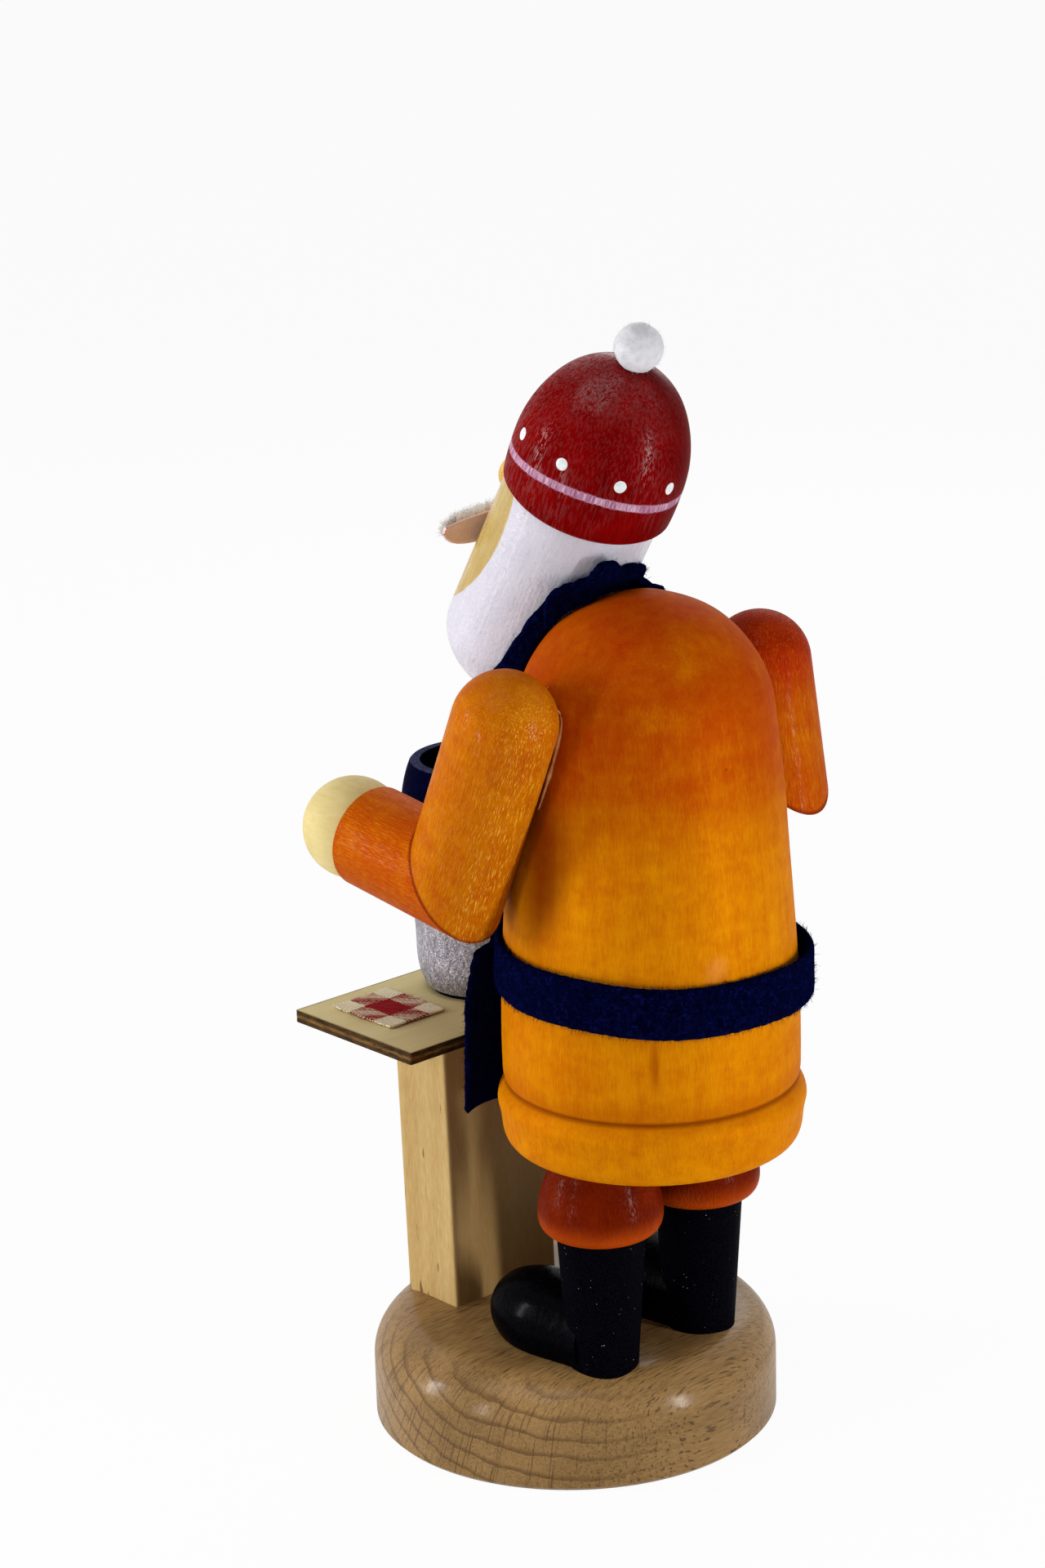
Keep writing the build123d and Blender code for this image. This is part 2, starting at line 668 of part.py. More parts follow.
def hat():
    crown = HAT_H - HAT_BAND_H
    steps = [math.radians(a) for a in (0, 18, 36, 54, 72, 90)]
    dome = curve(
        [(HAT_R * math.cos(a), HAT_BAND_H + crown * math.sin(a)) for a in steps],
        tangents=[(0, 0, 1), (-1, 0, 0)],
    )
    band = curve([(HAT_BRIM_R, HAT_EDGE), (HAT_R, HAT_BAND_H)], tangents=[(0.12, 0, 1), (0, 0, 1)])
    closing = chain([(0, HAT_H), (0, 0), (HAT_BRIM_R - HAT_EDGE, 0), (HAT_BRIM_R, HAT_EDGE)], closed=False)
    body = HAT_FRAME * lathe(band, dome, *closing)
    body -= pompom_blank()
    body -= hat_dowel_blank(FIT, SPARE)
    return body - pin_blank(FIT, SPARE)


def pompom_blank():
    return Pos(hat_point(HAT_H + POMPOM_R - POMPOM_SINK)) * Sphere(POMPOM_R)


def pompom():
    return pompom_blank() - pin_blank(FIT, SPARE)


def pin_blank(clear=0.0, extra=0.0):
    half = PIN_L / 2 + extra
    return rod(hat_point(HAT_H - half), hat_point(HAT_H + half), PIN_D / 2 + clear)


def assembly():
    parts = {
        "base_plate": base_plate(),
        "seat_disc": seat_disc(),
        "incense_dish": incense_dish(),
        "dish_nail": dish_nail(),
        "table_post": table_post(),
        "left_post_dowel": post_dowel_blank(1),
        "right_post_dowel": post_dowel_blank(-1),
        "table_top": table_top(),
        "table_cloth": table_cloth(),
        "pot": pot(),
        "coat": coat(),
        "belt": belt(),
        "scarf": scarf(),
        "neck_tube": neck_tube(),
        "head": head(),
        "nose": nose(),
        "moustache": moustache(),
        "hat": hat(),
        "hat_dowel": hat_dowel_blank(),
        "pompom": pompom(),
        "pompom_pin": pin_blank(),
    }
    for side, name in ((1, "left"), (-1, "right")):
        parts[name + "_boot_shaft"] = boot_shaft(side)
        parts[name + "_boot_toe"] = boot_toe(side)
        parts[name + "_toe_dowel"] = toe_dowel_blank(side)
        parts[name + "_trouser_leg"] = trouser_leg(side)
        parts[name + "_upper_arm"] = upper_arm(side)
        parts[name + "_forearm"] = forearm(side)
        parts[name + "_hand"] = hand_ball(side)
        parts[name + "_shoulder_dowel"] = shoulder_dowel_blank(side)
        parts[name + "_elbow_dowel"] = elbow_dowel_blank(side)
        parts[name + "_hand_dowel"] = hand_dowel_blank(side)
    return parts


os.makedirs("parts", exist_ok=True)
for part_name, shape in assembly().items():
    export_step(shape, "parts/" + part_name + ".step")
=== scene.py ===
import math
import random

import bpy
from mathutils import Matrix, Vector, noise as field
from mathutils.bvhtree import BVHTree


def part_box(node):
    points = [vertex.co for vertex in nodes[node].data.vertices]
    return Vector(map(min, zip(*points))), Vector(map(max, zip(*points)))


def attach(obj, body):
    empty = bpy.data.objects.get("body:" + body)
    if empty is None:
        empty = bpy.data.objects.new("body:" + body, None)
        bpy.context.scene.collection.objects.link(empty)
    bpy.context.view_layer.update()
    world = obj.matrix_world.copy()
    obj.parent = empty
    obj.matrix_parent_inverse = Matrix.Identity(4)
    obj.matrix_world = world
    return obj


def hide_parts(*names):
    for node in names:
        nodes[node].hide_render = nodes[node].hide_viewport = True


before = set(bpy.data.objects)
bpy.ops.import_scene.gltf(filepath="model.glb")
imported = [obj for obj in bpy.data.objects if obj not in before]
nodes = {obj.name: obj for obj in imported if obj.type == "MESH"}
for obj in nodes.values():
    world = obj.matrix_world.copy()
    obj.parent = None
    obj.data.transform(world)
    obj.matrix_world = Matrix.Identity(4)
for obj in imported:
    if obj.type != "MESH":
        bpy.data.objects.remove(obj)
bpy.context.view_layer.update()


# Base: a turned disc of flat-sawn beech, rounded over at the top edge and
# given a thin satin lacquer. Boots and table post are let into its top face.

PITH_Y, PITH_Z = 0.036, 0.095
YEAR_RING = 0.0042
PLAIN_SHINE = 0.06


class Tone:
    """A socket in a material. Sums on it add Math nodes, node() adds any other node."""

    def __init__(self, tree, socket=None):
        self.tree = tree
        self.socket = socket

    def node(self, kind, settings=None, sockets=None, out=0):
        made = self.tree.nodes.new("ShaderNode" + kind)
        for name, value in (settings or {}).items():
            if name == "stops":
                stops = made.color_ramp.elements
                while len(stops) < len(value):
                    stops.new(1.0)
                for stop, (place, colour) in zip(stops, value):
                    stop.position = place
                    stop.color = colour
            else:
                setattr(made, name, value)
        for key, value in (sockets or {}).items():
            if isinstance(value, Tone):
                self.tree.links.new(value.socket, made.inputs[key])
            else:
                made.inputs[key].default_value = value
        return Tone(self.tree, made.outputs[out])

    def sum(self, operation, first, second):
        return self.node("Math", {"operation": operation}, {0: first, 1: second})

    def __add__(self, other):
        return self.sum("ADD", self, other)

    def __sub__(self, other):
        return self.sum("SUBTRACT", self, other)

    def __rsub__(self, other):
        return self.sum("SUBTRACT", other, self)

    def __mul__(self, other):
        return self.sum("MULTIPLY", self, other)

    def __truediv__(self, other):
        return self.sum("DIVIDE", self, other)

    def __rtruediv__(self, other):
        return self.sum("DIVIDE", other, self)

    def __pow__(self, other):
        return self.sum("POWER", self, other)

    def __abs__(self):
        return self.sum("ABSOLUTE", self, 0.0)

    __radd__ = __add__
    __rmul__ = __mul__


def hue(red, green, blue):
    """Linear colour from 0 to 255 screen values."""
    return tuple((v / 255 / 12.92 if v <= 10 else ((v / 255 + 0.055) / 1.055) ** 2.4)
                 for v in (red, green, blue)) + (1.0,)


def finish(name, **fixed):
    """New material with its fixed shader values, and the coordinates of the piece it is on."""
    made = bpy.data.materials.new(name)
    made.use_nodes = True
    shader = made.node_tree.nodes["Principled BSDF"]
    shader.inputs["Specular IOR Level"].default_value = PLAIN_SHINE
    for socket, value in fixed.items():
        shader.inputs[socket.replace("_", " ")].default_value = value
    return made, Tone(made.node_tree).node("TexCoord", out="Object")


def feed(material, **tones):
    """Links tones to the sockets of a material's shader."""
    tree = material.node_tree
    for socket, tone in tones.items():
        tree.links.new(tone.socket, tree.nodes["Principled BSDF"].inputs[socket.replace("_", " ")])


def dress(material, *names):
    """Puts a material on CAD nodes."""
    for name in names:
        mesh = nodes[name].data
        mesh.materials.clear()
        mesh.materials.append(material)


def axis(vector, which):
    """One of a vector's three numbers."""
    return vector.node("SeparateXYZ", {}, {0: vector}, which)


def facing(place, which):
    """One of the three numbers of the surface's own normal."""
    return axis(place.node("TexCoord", out="Normal"), which)


def stretched(vector, *factors):
    return vector.node("VectorMath", {"operation": "MULTIPLY"}, {0: vector, 1: factors})


def noise(vector, scale, detail=3.0, roughness=0.55, distortion=0.0):
    return vector.node("TexNoise", {}, {"Vector": vector, "Scale": scale, "Detail": detail,
                                        "Roughness": roughness, "Distortion": distortion})


def streaks(vector, along, *form):
    """Noise drawn out along Z, or pressed flat where along is above 1."""
    return noise(stretched(vector, 1, 1, along), *form)


def fraction(value):
    """What is left of a value beyond its whole number."""
    return value.sum("FRACT", value, 0.0)


def rise(value, low, high):
    """Smooth step from 0 at low to 1 at high."""
    return value.node("MapRange", {"interpolation_type": "SMOOTHSTEP"}, {0: value, 1: low, 2: high})


def ebb(value, low, high):
    """Smooth step from 1 at low to 0 at high."""
    return 1 - rise(value, low, high)


def ramp(value, *stops):
    return value.node("ValToRGB", {"stops": stops}, {0: value})


def blend(first, second, amount):
    """Mixes two colours."""
    return amount.node("Mix", {"data_type": "RGBA"}, {0: amount, 6: first, 7: second}, 2)


def bump(height, depth):
    return height.node("Bump", {}, {"Strength": 1.0, "Distance": depth, "Height": height})


beech, place = finish("beech_lacquered", Coat_Weight=0.22, Coat_Roughness=0.2,
                      Specular_IOR_Level=0.12, Specular_Tint=hue(255, 214, 160))
end_on = rise(abs(facing(place, 0)), 0.2, 0.85)
across = axis(place, 1) - PITH_Y
above = axis(place, 2) - PITH_Z
from_pith = (across * across + above * above) ** 0.5
round_pith = above.sum("ARCTAN2", above, across)


def lying(length, depth, thin):
    """Noise along the grain, out from the pith and round it, with a size for each way."""
    return noise(place.node("CombineXYZ", {}, {0: axis(place, 0) / length, 1: from_pith / depth,
                                               2: round_pith / thin}), 1.0, 1.0)


wander = noise(stretched(place, 0.3, 1, 1), 70.0, 4.0, 0.6) - 0.5
year = fraction(from_pith / YEAR_RING + wander * 1.3)
late = rise(year, 0.66, 0.95) * ebb(year, 0.975, 1.0)
rays = rise(lying(0.007, 0.017, 0.0042), 0.60, 0.68)
flecks = rise(lying(0.0058, 0.0008, 0.0028), 0.60, 0.68)
pores = noise(stretched(place, 0.12, 1, 1), 2400.0, 2.0)
cloud = noise(stretched(place, 0.3, 1, 1), 60.0, 3.0)
tone = ramp(cloud * 0.55 + pores * 0.45, (0.32, hue(112, 84, 46)), (0.66, hue(158, 124, 77)))
tone = blend(tone, hue(86, 58, 31), late * (0.14 + end_on * 0.56))
tone = blend(tone, hue(86, 57, 31), rays * end_on * 0.7)
tone = blend(tone, hue(80, 54, 30), flecks * (0.85 - end_on * 0.55))
feed(beech, Base_Color=tone, Roughness=0.36 + pores * 0.14,
     Normal=bump(pores * 0.5 - rays * 0.6 - flecks * 0.8 - late * 0.3, 0.00012))
dress(beech, "base_plate")


# Boots: turned shafts dipped in matt black with dust in the paint, and glossier
# toe caps coped and dowelled on. Dowels, neck tube and seat disc stay raw wood.

def spots(vector, scale):
    """Distance from the nearest of many scattered points."""
    return vector.node("TexVoronoi", {"feature": "F1"}, {"Vector": vector, "Scale": scale}, "Distance")


boot_black, place = finish("boot_black", Specular_IOR_Level=0.004)
grit = noise(place, 2600.0, 3.0, 0.7)
dust = ebb(spots(place, 900.0), 0.05, 0.12) * rise(noise(place, 300.0, 1.0), 0.56, 0.66)
tone = ramp(grit, (0.4, hue(1, 1, 4)), (0.75, hue(12, 13, 20)))
feed(boot_black, Base_Color=blend(tone, hue(176, 178, 186), dust * 0.75),
     Roughness=0.42 + grit * 0.2, Normal=bump(grit, 0.00016))
dress(boot_black, "left_boot_shaft", "right_boot_shaft")

toe_black, place = finish("toe_black", Coat_Weight=0.026, Coat_Roughness=0.16, Specular_IOR_Level=0.004)
turning = noise(stretched(place, 0.5, 1.6, 0.5), 420.0, 3.0)
grit = noise(place, 1500.0, 2.0)
feed(toe_black, Base_Color=ramp(grit, (0.3, hue(0, 0, 2)), (0.8, hue(6, 6, 9))),
     Roughness=0.12 + turning * 0.12, Normal=bump(turning * 1.6 + grit * 0.6, 0.0002))
dress(toe_black, "left_boot_toe", "right_boot_toe")

raw_wood, place = finish("raw_wood", Roughness=0.7)
thread = streaks(place, 0.06, 1400.0, 3.0)
feed(raw_wood, Base_Color=ramp(thread, (0.3, hue(178, 140, 92)), (0.75, hue(214, 182, 134))),
     Normal=bump(thread, 0.00008))
dress(raw_wood, "hat_dowel", "neck_tube", "seat_disc",
      *(side + joint + "_dowel" for side in ("left_", "right_")
        for joint in ("toe", "post", "shoulder", "elbow", "hand")))


# Trousers: two bell-shaped turnings stained deep rust under a gloss lacquer,
# rubbed lighter on the lower rim, glued on the boots and under the seat disc.

CUFF_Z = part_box("left_trouser_leg")[0].z
CUFF_RUB = (0.0006, 0.0066)

trouser_stain, place = finish("trouser_stain", Coat_Roughness=0.24,
                              Specular_IOR_Level=0.006, Specular_Tint=hue(255, 170, 120))
height = axis(place, 2) - CUFF_Z
thread = streaks(place, 0.12, 2600.0, 3.0)
cloud = noise(place, 140.0, 3.0)
gloss = streaks(place, 0.4, 2600.0, 2.0, 0.6)
tone = ramp(cloud * 0.6 + thread * 0.4, (0.3, hue(84, 12, 0)), (0.7, hue(116, 30, 0)))
rubbed = ebb(height + (cloud - 0.5) * 0.003 + (thread - 0.5) * 0.002, *CUFF_RUB)
tone = blend(tone, hue(174, 66, 6), rubbed * 0.9)
feed(trouser_stain, Base_Color=tone, Roughness=0.3 + thread * 0.1,
     Coat_Weight=rise(gloss, 0.46, 0.6) * 0.1, Normal=bump(thread + gloss, 0.00016))
dress(trouser_stain, "left_trouser_leg", "right_trouser_leg")


# Incense dish: a small pressed steel cup nailed to the seat disc inside the coat,
# smoke-stained in the middle where the cones stand. The pompom's pin is steel too.

SOOT_REACH = (0.002, 0.011)


def centre_of(name):
    """Middle of a CAD node's box."""
    low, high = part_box(name)
    return (low + high) / 2


def distance(vector, spot):
    return vector.node("VectorMath", {"operation": "DISTANCE"}, {0: vector, 1: tuple(spot)}, "Value")


def waver(vector, scale, size):
    """Noise that swings about zero, for a line that no ruler drew."""
    return (noise(vector, scale) - 0.5) * size


dish_steel, place = finish("dish_steel", Metallic=1.0)
soot = distance(place, centre_of("incense_dish")) + waver(place, 260.0, 0.006)
soot = ebb(soot, *SOOT_REACH) * 0.8
feed(dish_steel, Base_Color=blend(hue(168, 164, 158), hue(66, 50, 36), soot),
     Roughness=0.3 + soot * 0.4 + noise(place, 900.0) * 0.1,
     Normal=bump(noise(place, 500.0), 0.00005))
dress(dish_steel, "incense_dish", "dish_nail", "pompom_pin")


# Table: a squared maple post let into the base, glued with a slight lean, and a
# laser-cut plate of three-ply birch whose sawn edges are burnt brown.

BURNT_RIM = 0.0007
plate_low, plate_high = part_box("table_top")
plate_mid = centre_of("table_top")
plate_half = (plate_high - plate_low) / 2

maple, place = finish("maple_sanded", Coat_Weight=0.08, Coat_Roughness=0.4)
thread = streaks(place, 0.2, 1600.0, 4.0, 0.65)
streak = streaks(place, 0.07, 190.0, 3.0, 0.5, 0.4)
fleck = streaks(place, 0.22, 520.0, 1.0)
fleck_field = noise(place, 75.0, 1.0)
flecks = rise(fleck, 0.68, 0.74) * rise(fleck_field, 0.44, 0.54) * rise(facing(place, 0), 0.5, 0.9)
tone = ramp(streak * 0.5 + thread * 0.5, (0.28, hue(168, 134, 78)), (0.5, hue(188, 157, 101)),
            (0.75, hue(205, 178, 126)))
tone = blend(tone, hue(104, 66, 30), flecks * 0.8)
# Painted shade: the face towards +Y is painted darker.
tone = blend(tone, hue(116, 82, 42), rise(facing(place, 1), 0.5, 0.9) * 0.6)
feed(maple, Base_Color=tone, Roughness=0.5 + thread * 0.12, Normal=bump(thread - flecks, 0.00009))
dress(maple, "table_post")

plywood, place = finish("birch_plywood")
cut = ebb(abs(facing(place, 2)), 0.3, 0.7)
grain = noise(stretched(place, 0.1, 1, 1), 900.0, 4.0, 0.6)
figure = noise(stretched(place, 0.22, 1, 1), 90.0, 3.0)
face = ramp(figure * 0.7 + grain * 0.3, (0.3, hue(203, 185, 129)), (0.55, hue(214, 198, 146)),
            (0.8, hue(224, 210, 164)))
to_x = plate_half.x - abs(axis(place, 0) - plate_mid.x)
to_y = plate_half.y - abs(axis(place, 1) - plate_mid.y)
rim = to_x.sum("MINIMUM", to_x, to_y) + waver(place, 400.0, 0.0003)
face = blend(face, hue(120, 92, 52), ebb(rim, 0.0, BURNT_RIM) * 0.8)
ply = axis(place, 2) - plate_low.z + waver(stretched(place, 0.3, 0.3, 1), 500.0, 0.0005)
core = rise(ply, 0.0008, 0.00105) * ebb(ply, 0.0015, 0.00175)
char = noise(stretched(place, 0.25, 0.25, 1), 1500.0, 3.0, 0.65)
edge = blend(ramp(char, (0.3, hue(28, 17, 6)), (0.75, hue(84, 58, 26))),
             ramp(char, (0.3, hue(70, 48, 20)), (0.8, hue(150, 112, 58))), core * 0.75)
feed(plywood, Base_Color=blend(face, edge, cut), Roughness=0.55 + grain * 0.15,
     Normal=bump(grain * (1 - cut) + char * cut * 3, 0.00007))
dress(plywood, "table_top")


# Cloth patch: a scrap of red and cream checked cotton, twill woven, glued flat on
# the plate with its cut edges beginning to fray.

CLOTH_SIZE = (0.0150, 0.0182)
CLOTH_ROWS, CLOTH_COLUMNS = 96, 112
CLOTH_THICK, CLOTH_LIFT = 0.0005, 0.00046
STRIPE_X, STRIPE_Y, STRIPE_SOFT = 0.0032, 0.0040, 0.0001
THREAD = 0.00042
TWILL = THREAD * 2.2
EDGE_JAG = 0.00022
FRAY_SHARE, FRAY_ROOT = 0.6, 0.0003
FIBRE_STEPS, FIBRE_SIDES = 3, 3

cloth_mid = centre_of("table_cloth")


def piece(name, points, faces, material, body):
    """A new mesh of the object, riding on a body."""
    mesh = bpy.data.meshes.new(name)
    mesh.from_pydata([tuple(p) for p in points], [], faces)
    mesh.materials.append(material)
    mesh.shade_smooth()
    made = bpy.data.objects.new(name, mesh)
    bpy.context.scene.collection.objects.link(made)
    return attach(made, body)


def net(rows, columns, spot):
    """Rows of points of a sheet, from the place that each share along and across it has."""
    return [[spot(i / rows, j / columns) for j in range(columns + 1)] for i in range(rows + 1)]


def circle(centre, side, other, radius, count):
    """Points of a ring in the plane of two ways."""
    turns = [2 * math.pi * k / count for k in range(count)]
    return [centre + (side * math.cos(a) + other * math.sin(a)) * radius for a in turns]


def band(rings, count, start=0, flip=False):
    """Faces between rings of points that follow each other."""
    faces = []
    for ring in range(rings - 1):
        for k in range(count):
            a, b = (start + ring * count + n % count for n in (k, k + 1))
            faces.append((a, a + count, b + count, b) if flip else (a, b, b + count, a + count))
    return faces


def tube(rings, count, start=0):
    """Faces of a tube over such rings, closed at both ends."""
    last = start + (rings - 1) * count
    ends = [tuple(range(last, last + count)), tuple(range(start, start + count))[::-1]]
    return band(rings, count, start) + ends


def sheet_mesh(grid, thick, wobble=0.0, pitch=700.0):
    """Points and faces of a sheet with a thickness, round-edged, from rows of mid-plane points."""
    rows, columns = len(grid), len(grid[0])
    ring = 2 * columns + 2

    def ways(i, j):
        """Out of the sheet, from row to row and along a row."""
        along = grid[min(i + 1, rows - 1)][j] - grid[max(i - 1, 0)][j]
        wide = grid[i][min(j + 1, columns - 1)] - grid[i][max(j - 1, 0)]
        return along.cross(wide).normalized(), along.normalized(), wide.normalized()

    points = []
    for i in range(rows):
        inset = {0: -1, rows - 1: 1}.get(i, 0) * thick * 0.2
        for side in (1, -1):
            for j in range(columns)[::side]:
                out, along, _ = ways(i, j)
                p = grid[i][j]
                lift = side * thick / 2 * (0.8 if j in (0, columns - 1) else 1.0)
                lift += wobble * field.noise(p * pitch + Vector((0, 0, side * 7.0)))
                points.append(p + out * lift - along * inset)
            last = columns - 1 if side > 0 else 0
            _, along, wide = ways(i, last)
            points.append(grid[i][last] + wide * (side * thick * 0.4) - along * inset)
    faces = band(rows, ring)
    for i, flip in ((0, True), (rows - 1, False)):
        _, along, _ = ways(i, columns // 2)
        start = i * ring
        front = [start + j for j in range(columns)]
        back = [start + ring - 2 - j for j in range(columns)]
        middle = [len(points) + j for j in range(columns)]
        points += [p + along * (-thick * 0.35 if flip else thick * 0.35) for p in grid[i]]
        for row, reverse in ((front, flip), (back, not flip)):
            for j in range(columns - 1):
                quad = (row[j], row[j + 1], middle[j + 1], middle[j])
                faces.append(quad if reverse else quad[::-1])
        for j, tip in ((columns - 1, start + columns), (0, start + ring - 1)):
            swap = (j == 0) != flip
            for corner in ((front[j], middle[j], tip), (back[j], tip, middle[j])):
                faces.append(corner[::-1] if swap else corner)
    return points, faces


def any_way(draw):
    return Vector((draw.uniform(-1, 1), draw.uniform(-1, 1), draw.uniform(-1, 1)))


def fibres(roots, length, width, curl, seed):
    """Points and faces of thin tapered strands from (point, direction) roots."""
    draw = random.Random(seed)
    points, faces = [], []
    for root, way in roots:
        way = way.normalized()
        bend = any_way(draw)
        bend = (bend - way * bend.dot(way)) * curl
        reach = length * draw.uniform(0.55, 1.25)
        side = way.orthogonal().normalized()
        other = way.cross(side)
        faces += tube(FIBRE_STEPS + 1, FIBRE_SIDES, len(points))
        for step in range(FIBRE_STEPS + 1):
            s = step / FIBRE_STEPS
            centre = root + way * reach * s + bend * reach * s * s
            points += circle(centre, side, other, width / 2 * (1 - 0.75 * s), FIBRE_SIDES)
    return points, faces


check_cloth, place = finish("check_cloth", Sheen_Weight=0.05, Sheen_Roughness=0.5, Roughness=0.92)
warp_at = axis(place, 0) - cloth_mid.x
weft_at = axis(place, 1) - cloth_mid.y
warp_red, weft_red = (ebb(abs(at) + waver(place, 900.0, 0.0006), half - STRIPE_SOFT, half + STRIPE_SOFT)
                      for at, half in ((warp_at, STRIPE_X), (weft_at, STRIPE_Y)))
slant = abs(fraction((warp_at + weft_at) / TWILL) - 0.5)
over = rise(slant, 0.13, 0.23)
under = ebb(slant, 0.27, 0.37)
yarn = noise(place, 2600.0, 2.0)
cream = ramp(yarn, (0.3, hue(216, 200, 160)), (0.75, hue(246, 238, 212)))
madder = ramp(yarn, (0.3, hue(128, 0, 10)), (0.75, hue(166, 6, 22)))
feed(check_cloth, Base_Color=blend(blend(cream, madder, warp_red * over), madder, weft_red * under),
     Normal=bump(yarn + over * 0.6, 0.00006))


def woven(u, v):
    """Height of the cloth at a place on it: soft lift and the over-and-under of the threads."""
    ripple = 0.00016 * field.noise(Vector((u * 260, v * 260, 3.0)))
    curled = (0.00025 * max(0.0, abs(u) / CLOTH_SIZE[0] * 2 - 0.7)
              + 0.0002 * max(0.0, abs(v) / CLOTH_SIZE[1] * 2 - 0.75))
    weave = (0.00007 * math.sin(math.pi * (u + v) / THREAD)
             + 0.00003 * math.cos(math.pi * (u - v) / THREAD * 2))
    return ripple + curled + weave


def on_cloth(s, t):
    """Place on the cloth, with cut edges that wander."""
    u, v = (s - 0.5) * CLOTH_SIZE[0], (t - 0.5) * CLOTH_SIZE[1]
    jag = EDGE_JAG * field.noise(Vector((v * 700, 1.5 if u > 0 else 8.5, 0)))
    u += jag * abs(u) / CLOTH_SIZE[0] * 2
    jag = EDGE_JAG * field.noise(Vector((u * 700, 4.5 if v > 0 else 12.5, 5)))
    v += jag * abs(v) / CLOTH_SIZE[1] * 2
    return Vector((cloth_mid.x + u, cloth_mid.y + v, plate_high.z + CLOTH_LIFT + woven(u, v)))


cloth_grid = net(CLOTH_ROWS, CLOTH_COLUMNS, on_cloth)
patch = piece("check_patch", *sheet_mesh(cloth_grid, CLOTH_THICK), check_cloth, "stand")
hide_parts("table_cloth")

draw = random.Random(11)
roots = []
for run, out in ((cloth_grid[0], (-1, 0, 0)), (cloth_grid[-1], (1, 0, 0)),
                 ([r[0] for r in cloth_grid], (0, -1, 0)), ([r[-1] for r in cloth_grid], (0, 1, 0))):
    for p in run:
        if draw.random() < FRAY_SHARE:
            lean = Vector((out[0] + draw.uniform(-0.5, 0.5), out[1] + draw.uniform(-0.5, 0.5),
                           draw.uniform(-0.05, 0.25)))
            roots.append((p - Vector(out) * FRAY_ROOT, lean))
fray = piece("patch_fray", *fibres(roots, length=0.0009, width=0.00016, curl=0.25, seed=12),
             check_cloth, "stand")


# Pot: a turned barrel bored deep, sprayed silver with dark blue paint on its
# upper half; the bare rim shows grey-blue where the brush dragged.

pot_low, pot_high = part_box("pot")
pot_mid = centre_of("pot")
BAND_Z = pot_low.z + 0.0275
BAND_SOFT = 0.0002
POT_BORE = 0.0121

pot_paint, place = finish("pot_paint", Specular_IOR_Level=0.002)
grit = noise(place, 3000.0, 3.0, 0.65)
drag = streaks(place, 0.5, 1300.0, 3.0)
z = axis(place, 2)
far_x = axis(place, 0) - pot_mid.x
far_y = axis(place, 1) - pot_mid.y
wide = (far_x * far_x + far_y * far_y) ** 0.5
blue = rise(z + waver(place, 300.0, 0.0008), BAND_Z - BAND_SOFT, BAND_Z + BAND_SOFT)
top = rise(z, pot_high.z - 0.0003, pot_high.z - 0.0001)
inner = ebb(wide, POT_BORE, POT_BORE + 0.0003)
silver = ramp(grit * 0.6 + drag * 0.4, (0.36, hue(98, 95, 101)), (0.5, hue(146, 141, 148)),
              (0.63, hue(204, 201, 207)))
navy = ramp(drag, (0.3, hue(1, 2, 20)), (0.75, hue(5, 7, 42)))
tone = blend(silver, navy, blue)
tone = blend(tone, ramp(drag, (0.3, hue(34, 38, 66)), (0.75, hue(74, 78, 108))), top * 0.85)
# Painted shade: the inside of the bore is painted near black below the rim.
tone = blend(tone, hue(4, 5, 16), inner * (1 - top))
feed(pot_paint, Base_Color=tone, Metallic=(1 - blue) * 0.8 * (1 - inner),
     Roughness=0.38 + grit * 0.16 + blue * 0.05, Normal=bump(grit + drag * 0.6, 0.00022))
dress(pot_paint, "pot")


# Coat: one turned shell of linden, stained amber under a satin lacquer. The stain
# went red where end grain drank it, on the dome and in blotches below the shoulders.
# Painted light lies on it too: the left arm's painted shadow, painted shade in and
# above the groove, and a pale painted highlight on the back.

COAT_X, COAT_Y, _ = centre_of("coat")
DOME_Z = (0.126, 0.165)
GROOVE_Z = 0.0836
ARM_SHADOW_AT = (0.0338, 0.0262, 0.1365)
RUN_AT = (0.0219, 0.0490, 0.0961)
PAINTED_HIGHLIGHT_AT = (0.0103, 0.0551, 0.1146)
GOLD = hue(255, 176, 60)


def amber(local, deep):
    """Stain over a piece whose grain runs along local Z, deeper as deep goes to 1."""
    thread = streaks(local, 0.11, 3400.0, 3.0, 0.6)
    line = streaks(local, 0.05, 520.0, 3.0, 0.6)
    cloud = streaks(local, 1.9, 40.0, 4.0, 0.6)
    mottle = streaks(local, 1.4, 230.0, 4.0, 0.65)
    depth = deep + (cloud - 0.5) * 0.48 + (mottle - 0.5) * 0.5
    depth = depth + (line - 0.5) * 0.35 + (thread - 0.5) * 0.5
    tone = ramp(depth * 0.7, (0.0, hue(209, 131, 4)), (0.21, hue(190, 104, 3)), (0.42, hue(174, 74, 3)),
                (0.7, hue(158, 40, 3)), (1.0, hue(112, 13, 2)))
    return tone, thread, cloud, mottle


def near(place, spot, flatten):
    """Distance from a spot, in a space pressed along Z."""
    return distance(stretched(place, 1, 1, flatten), (spot[0], spot[1], spot[2] * flatten))


coat_stain, place = finish("coat_stain", Metallic=0.07, Specular_IOR_Level=0.008, Specular_Tint=GOLD)
z = axis(place, 2)
patches = streaks(place, 2.4, 62.0, 3.0, 0.55)
dome_red = rise(z, *DOME_Z) * (0.5 + (patches - 0.5) * 0.45)
tone, thread, cloud, mottle = amber(place, 0.17 + dome_red)
# Painted shadow: the left arm's shadow, painted dark red on the coat beside the arm.
painted_arm_shadow = ebb(near(place, ARM_SHADOW_AT, 0.36) + (cloud - 0.5) * 0.003, 0.003, 0.0105)
tone = blend(tone, hue(110, 24, 2), painted_arm_shadow * 0.85)
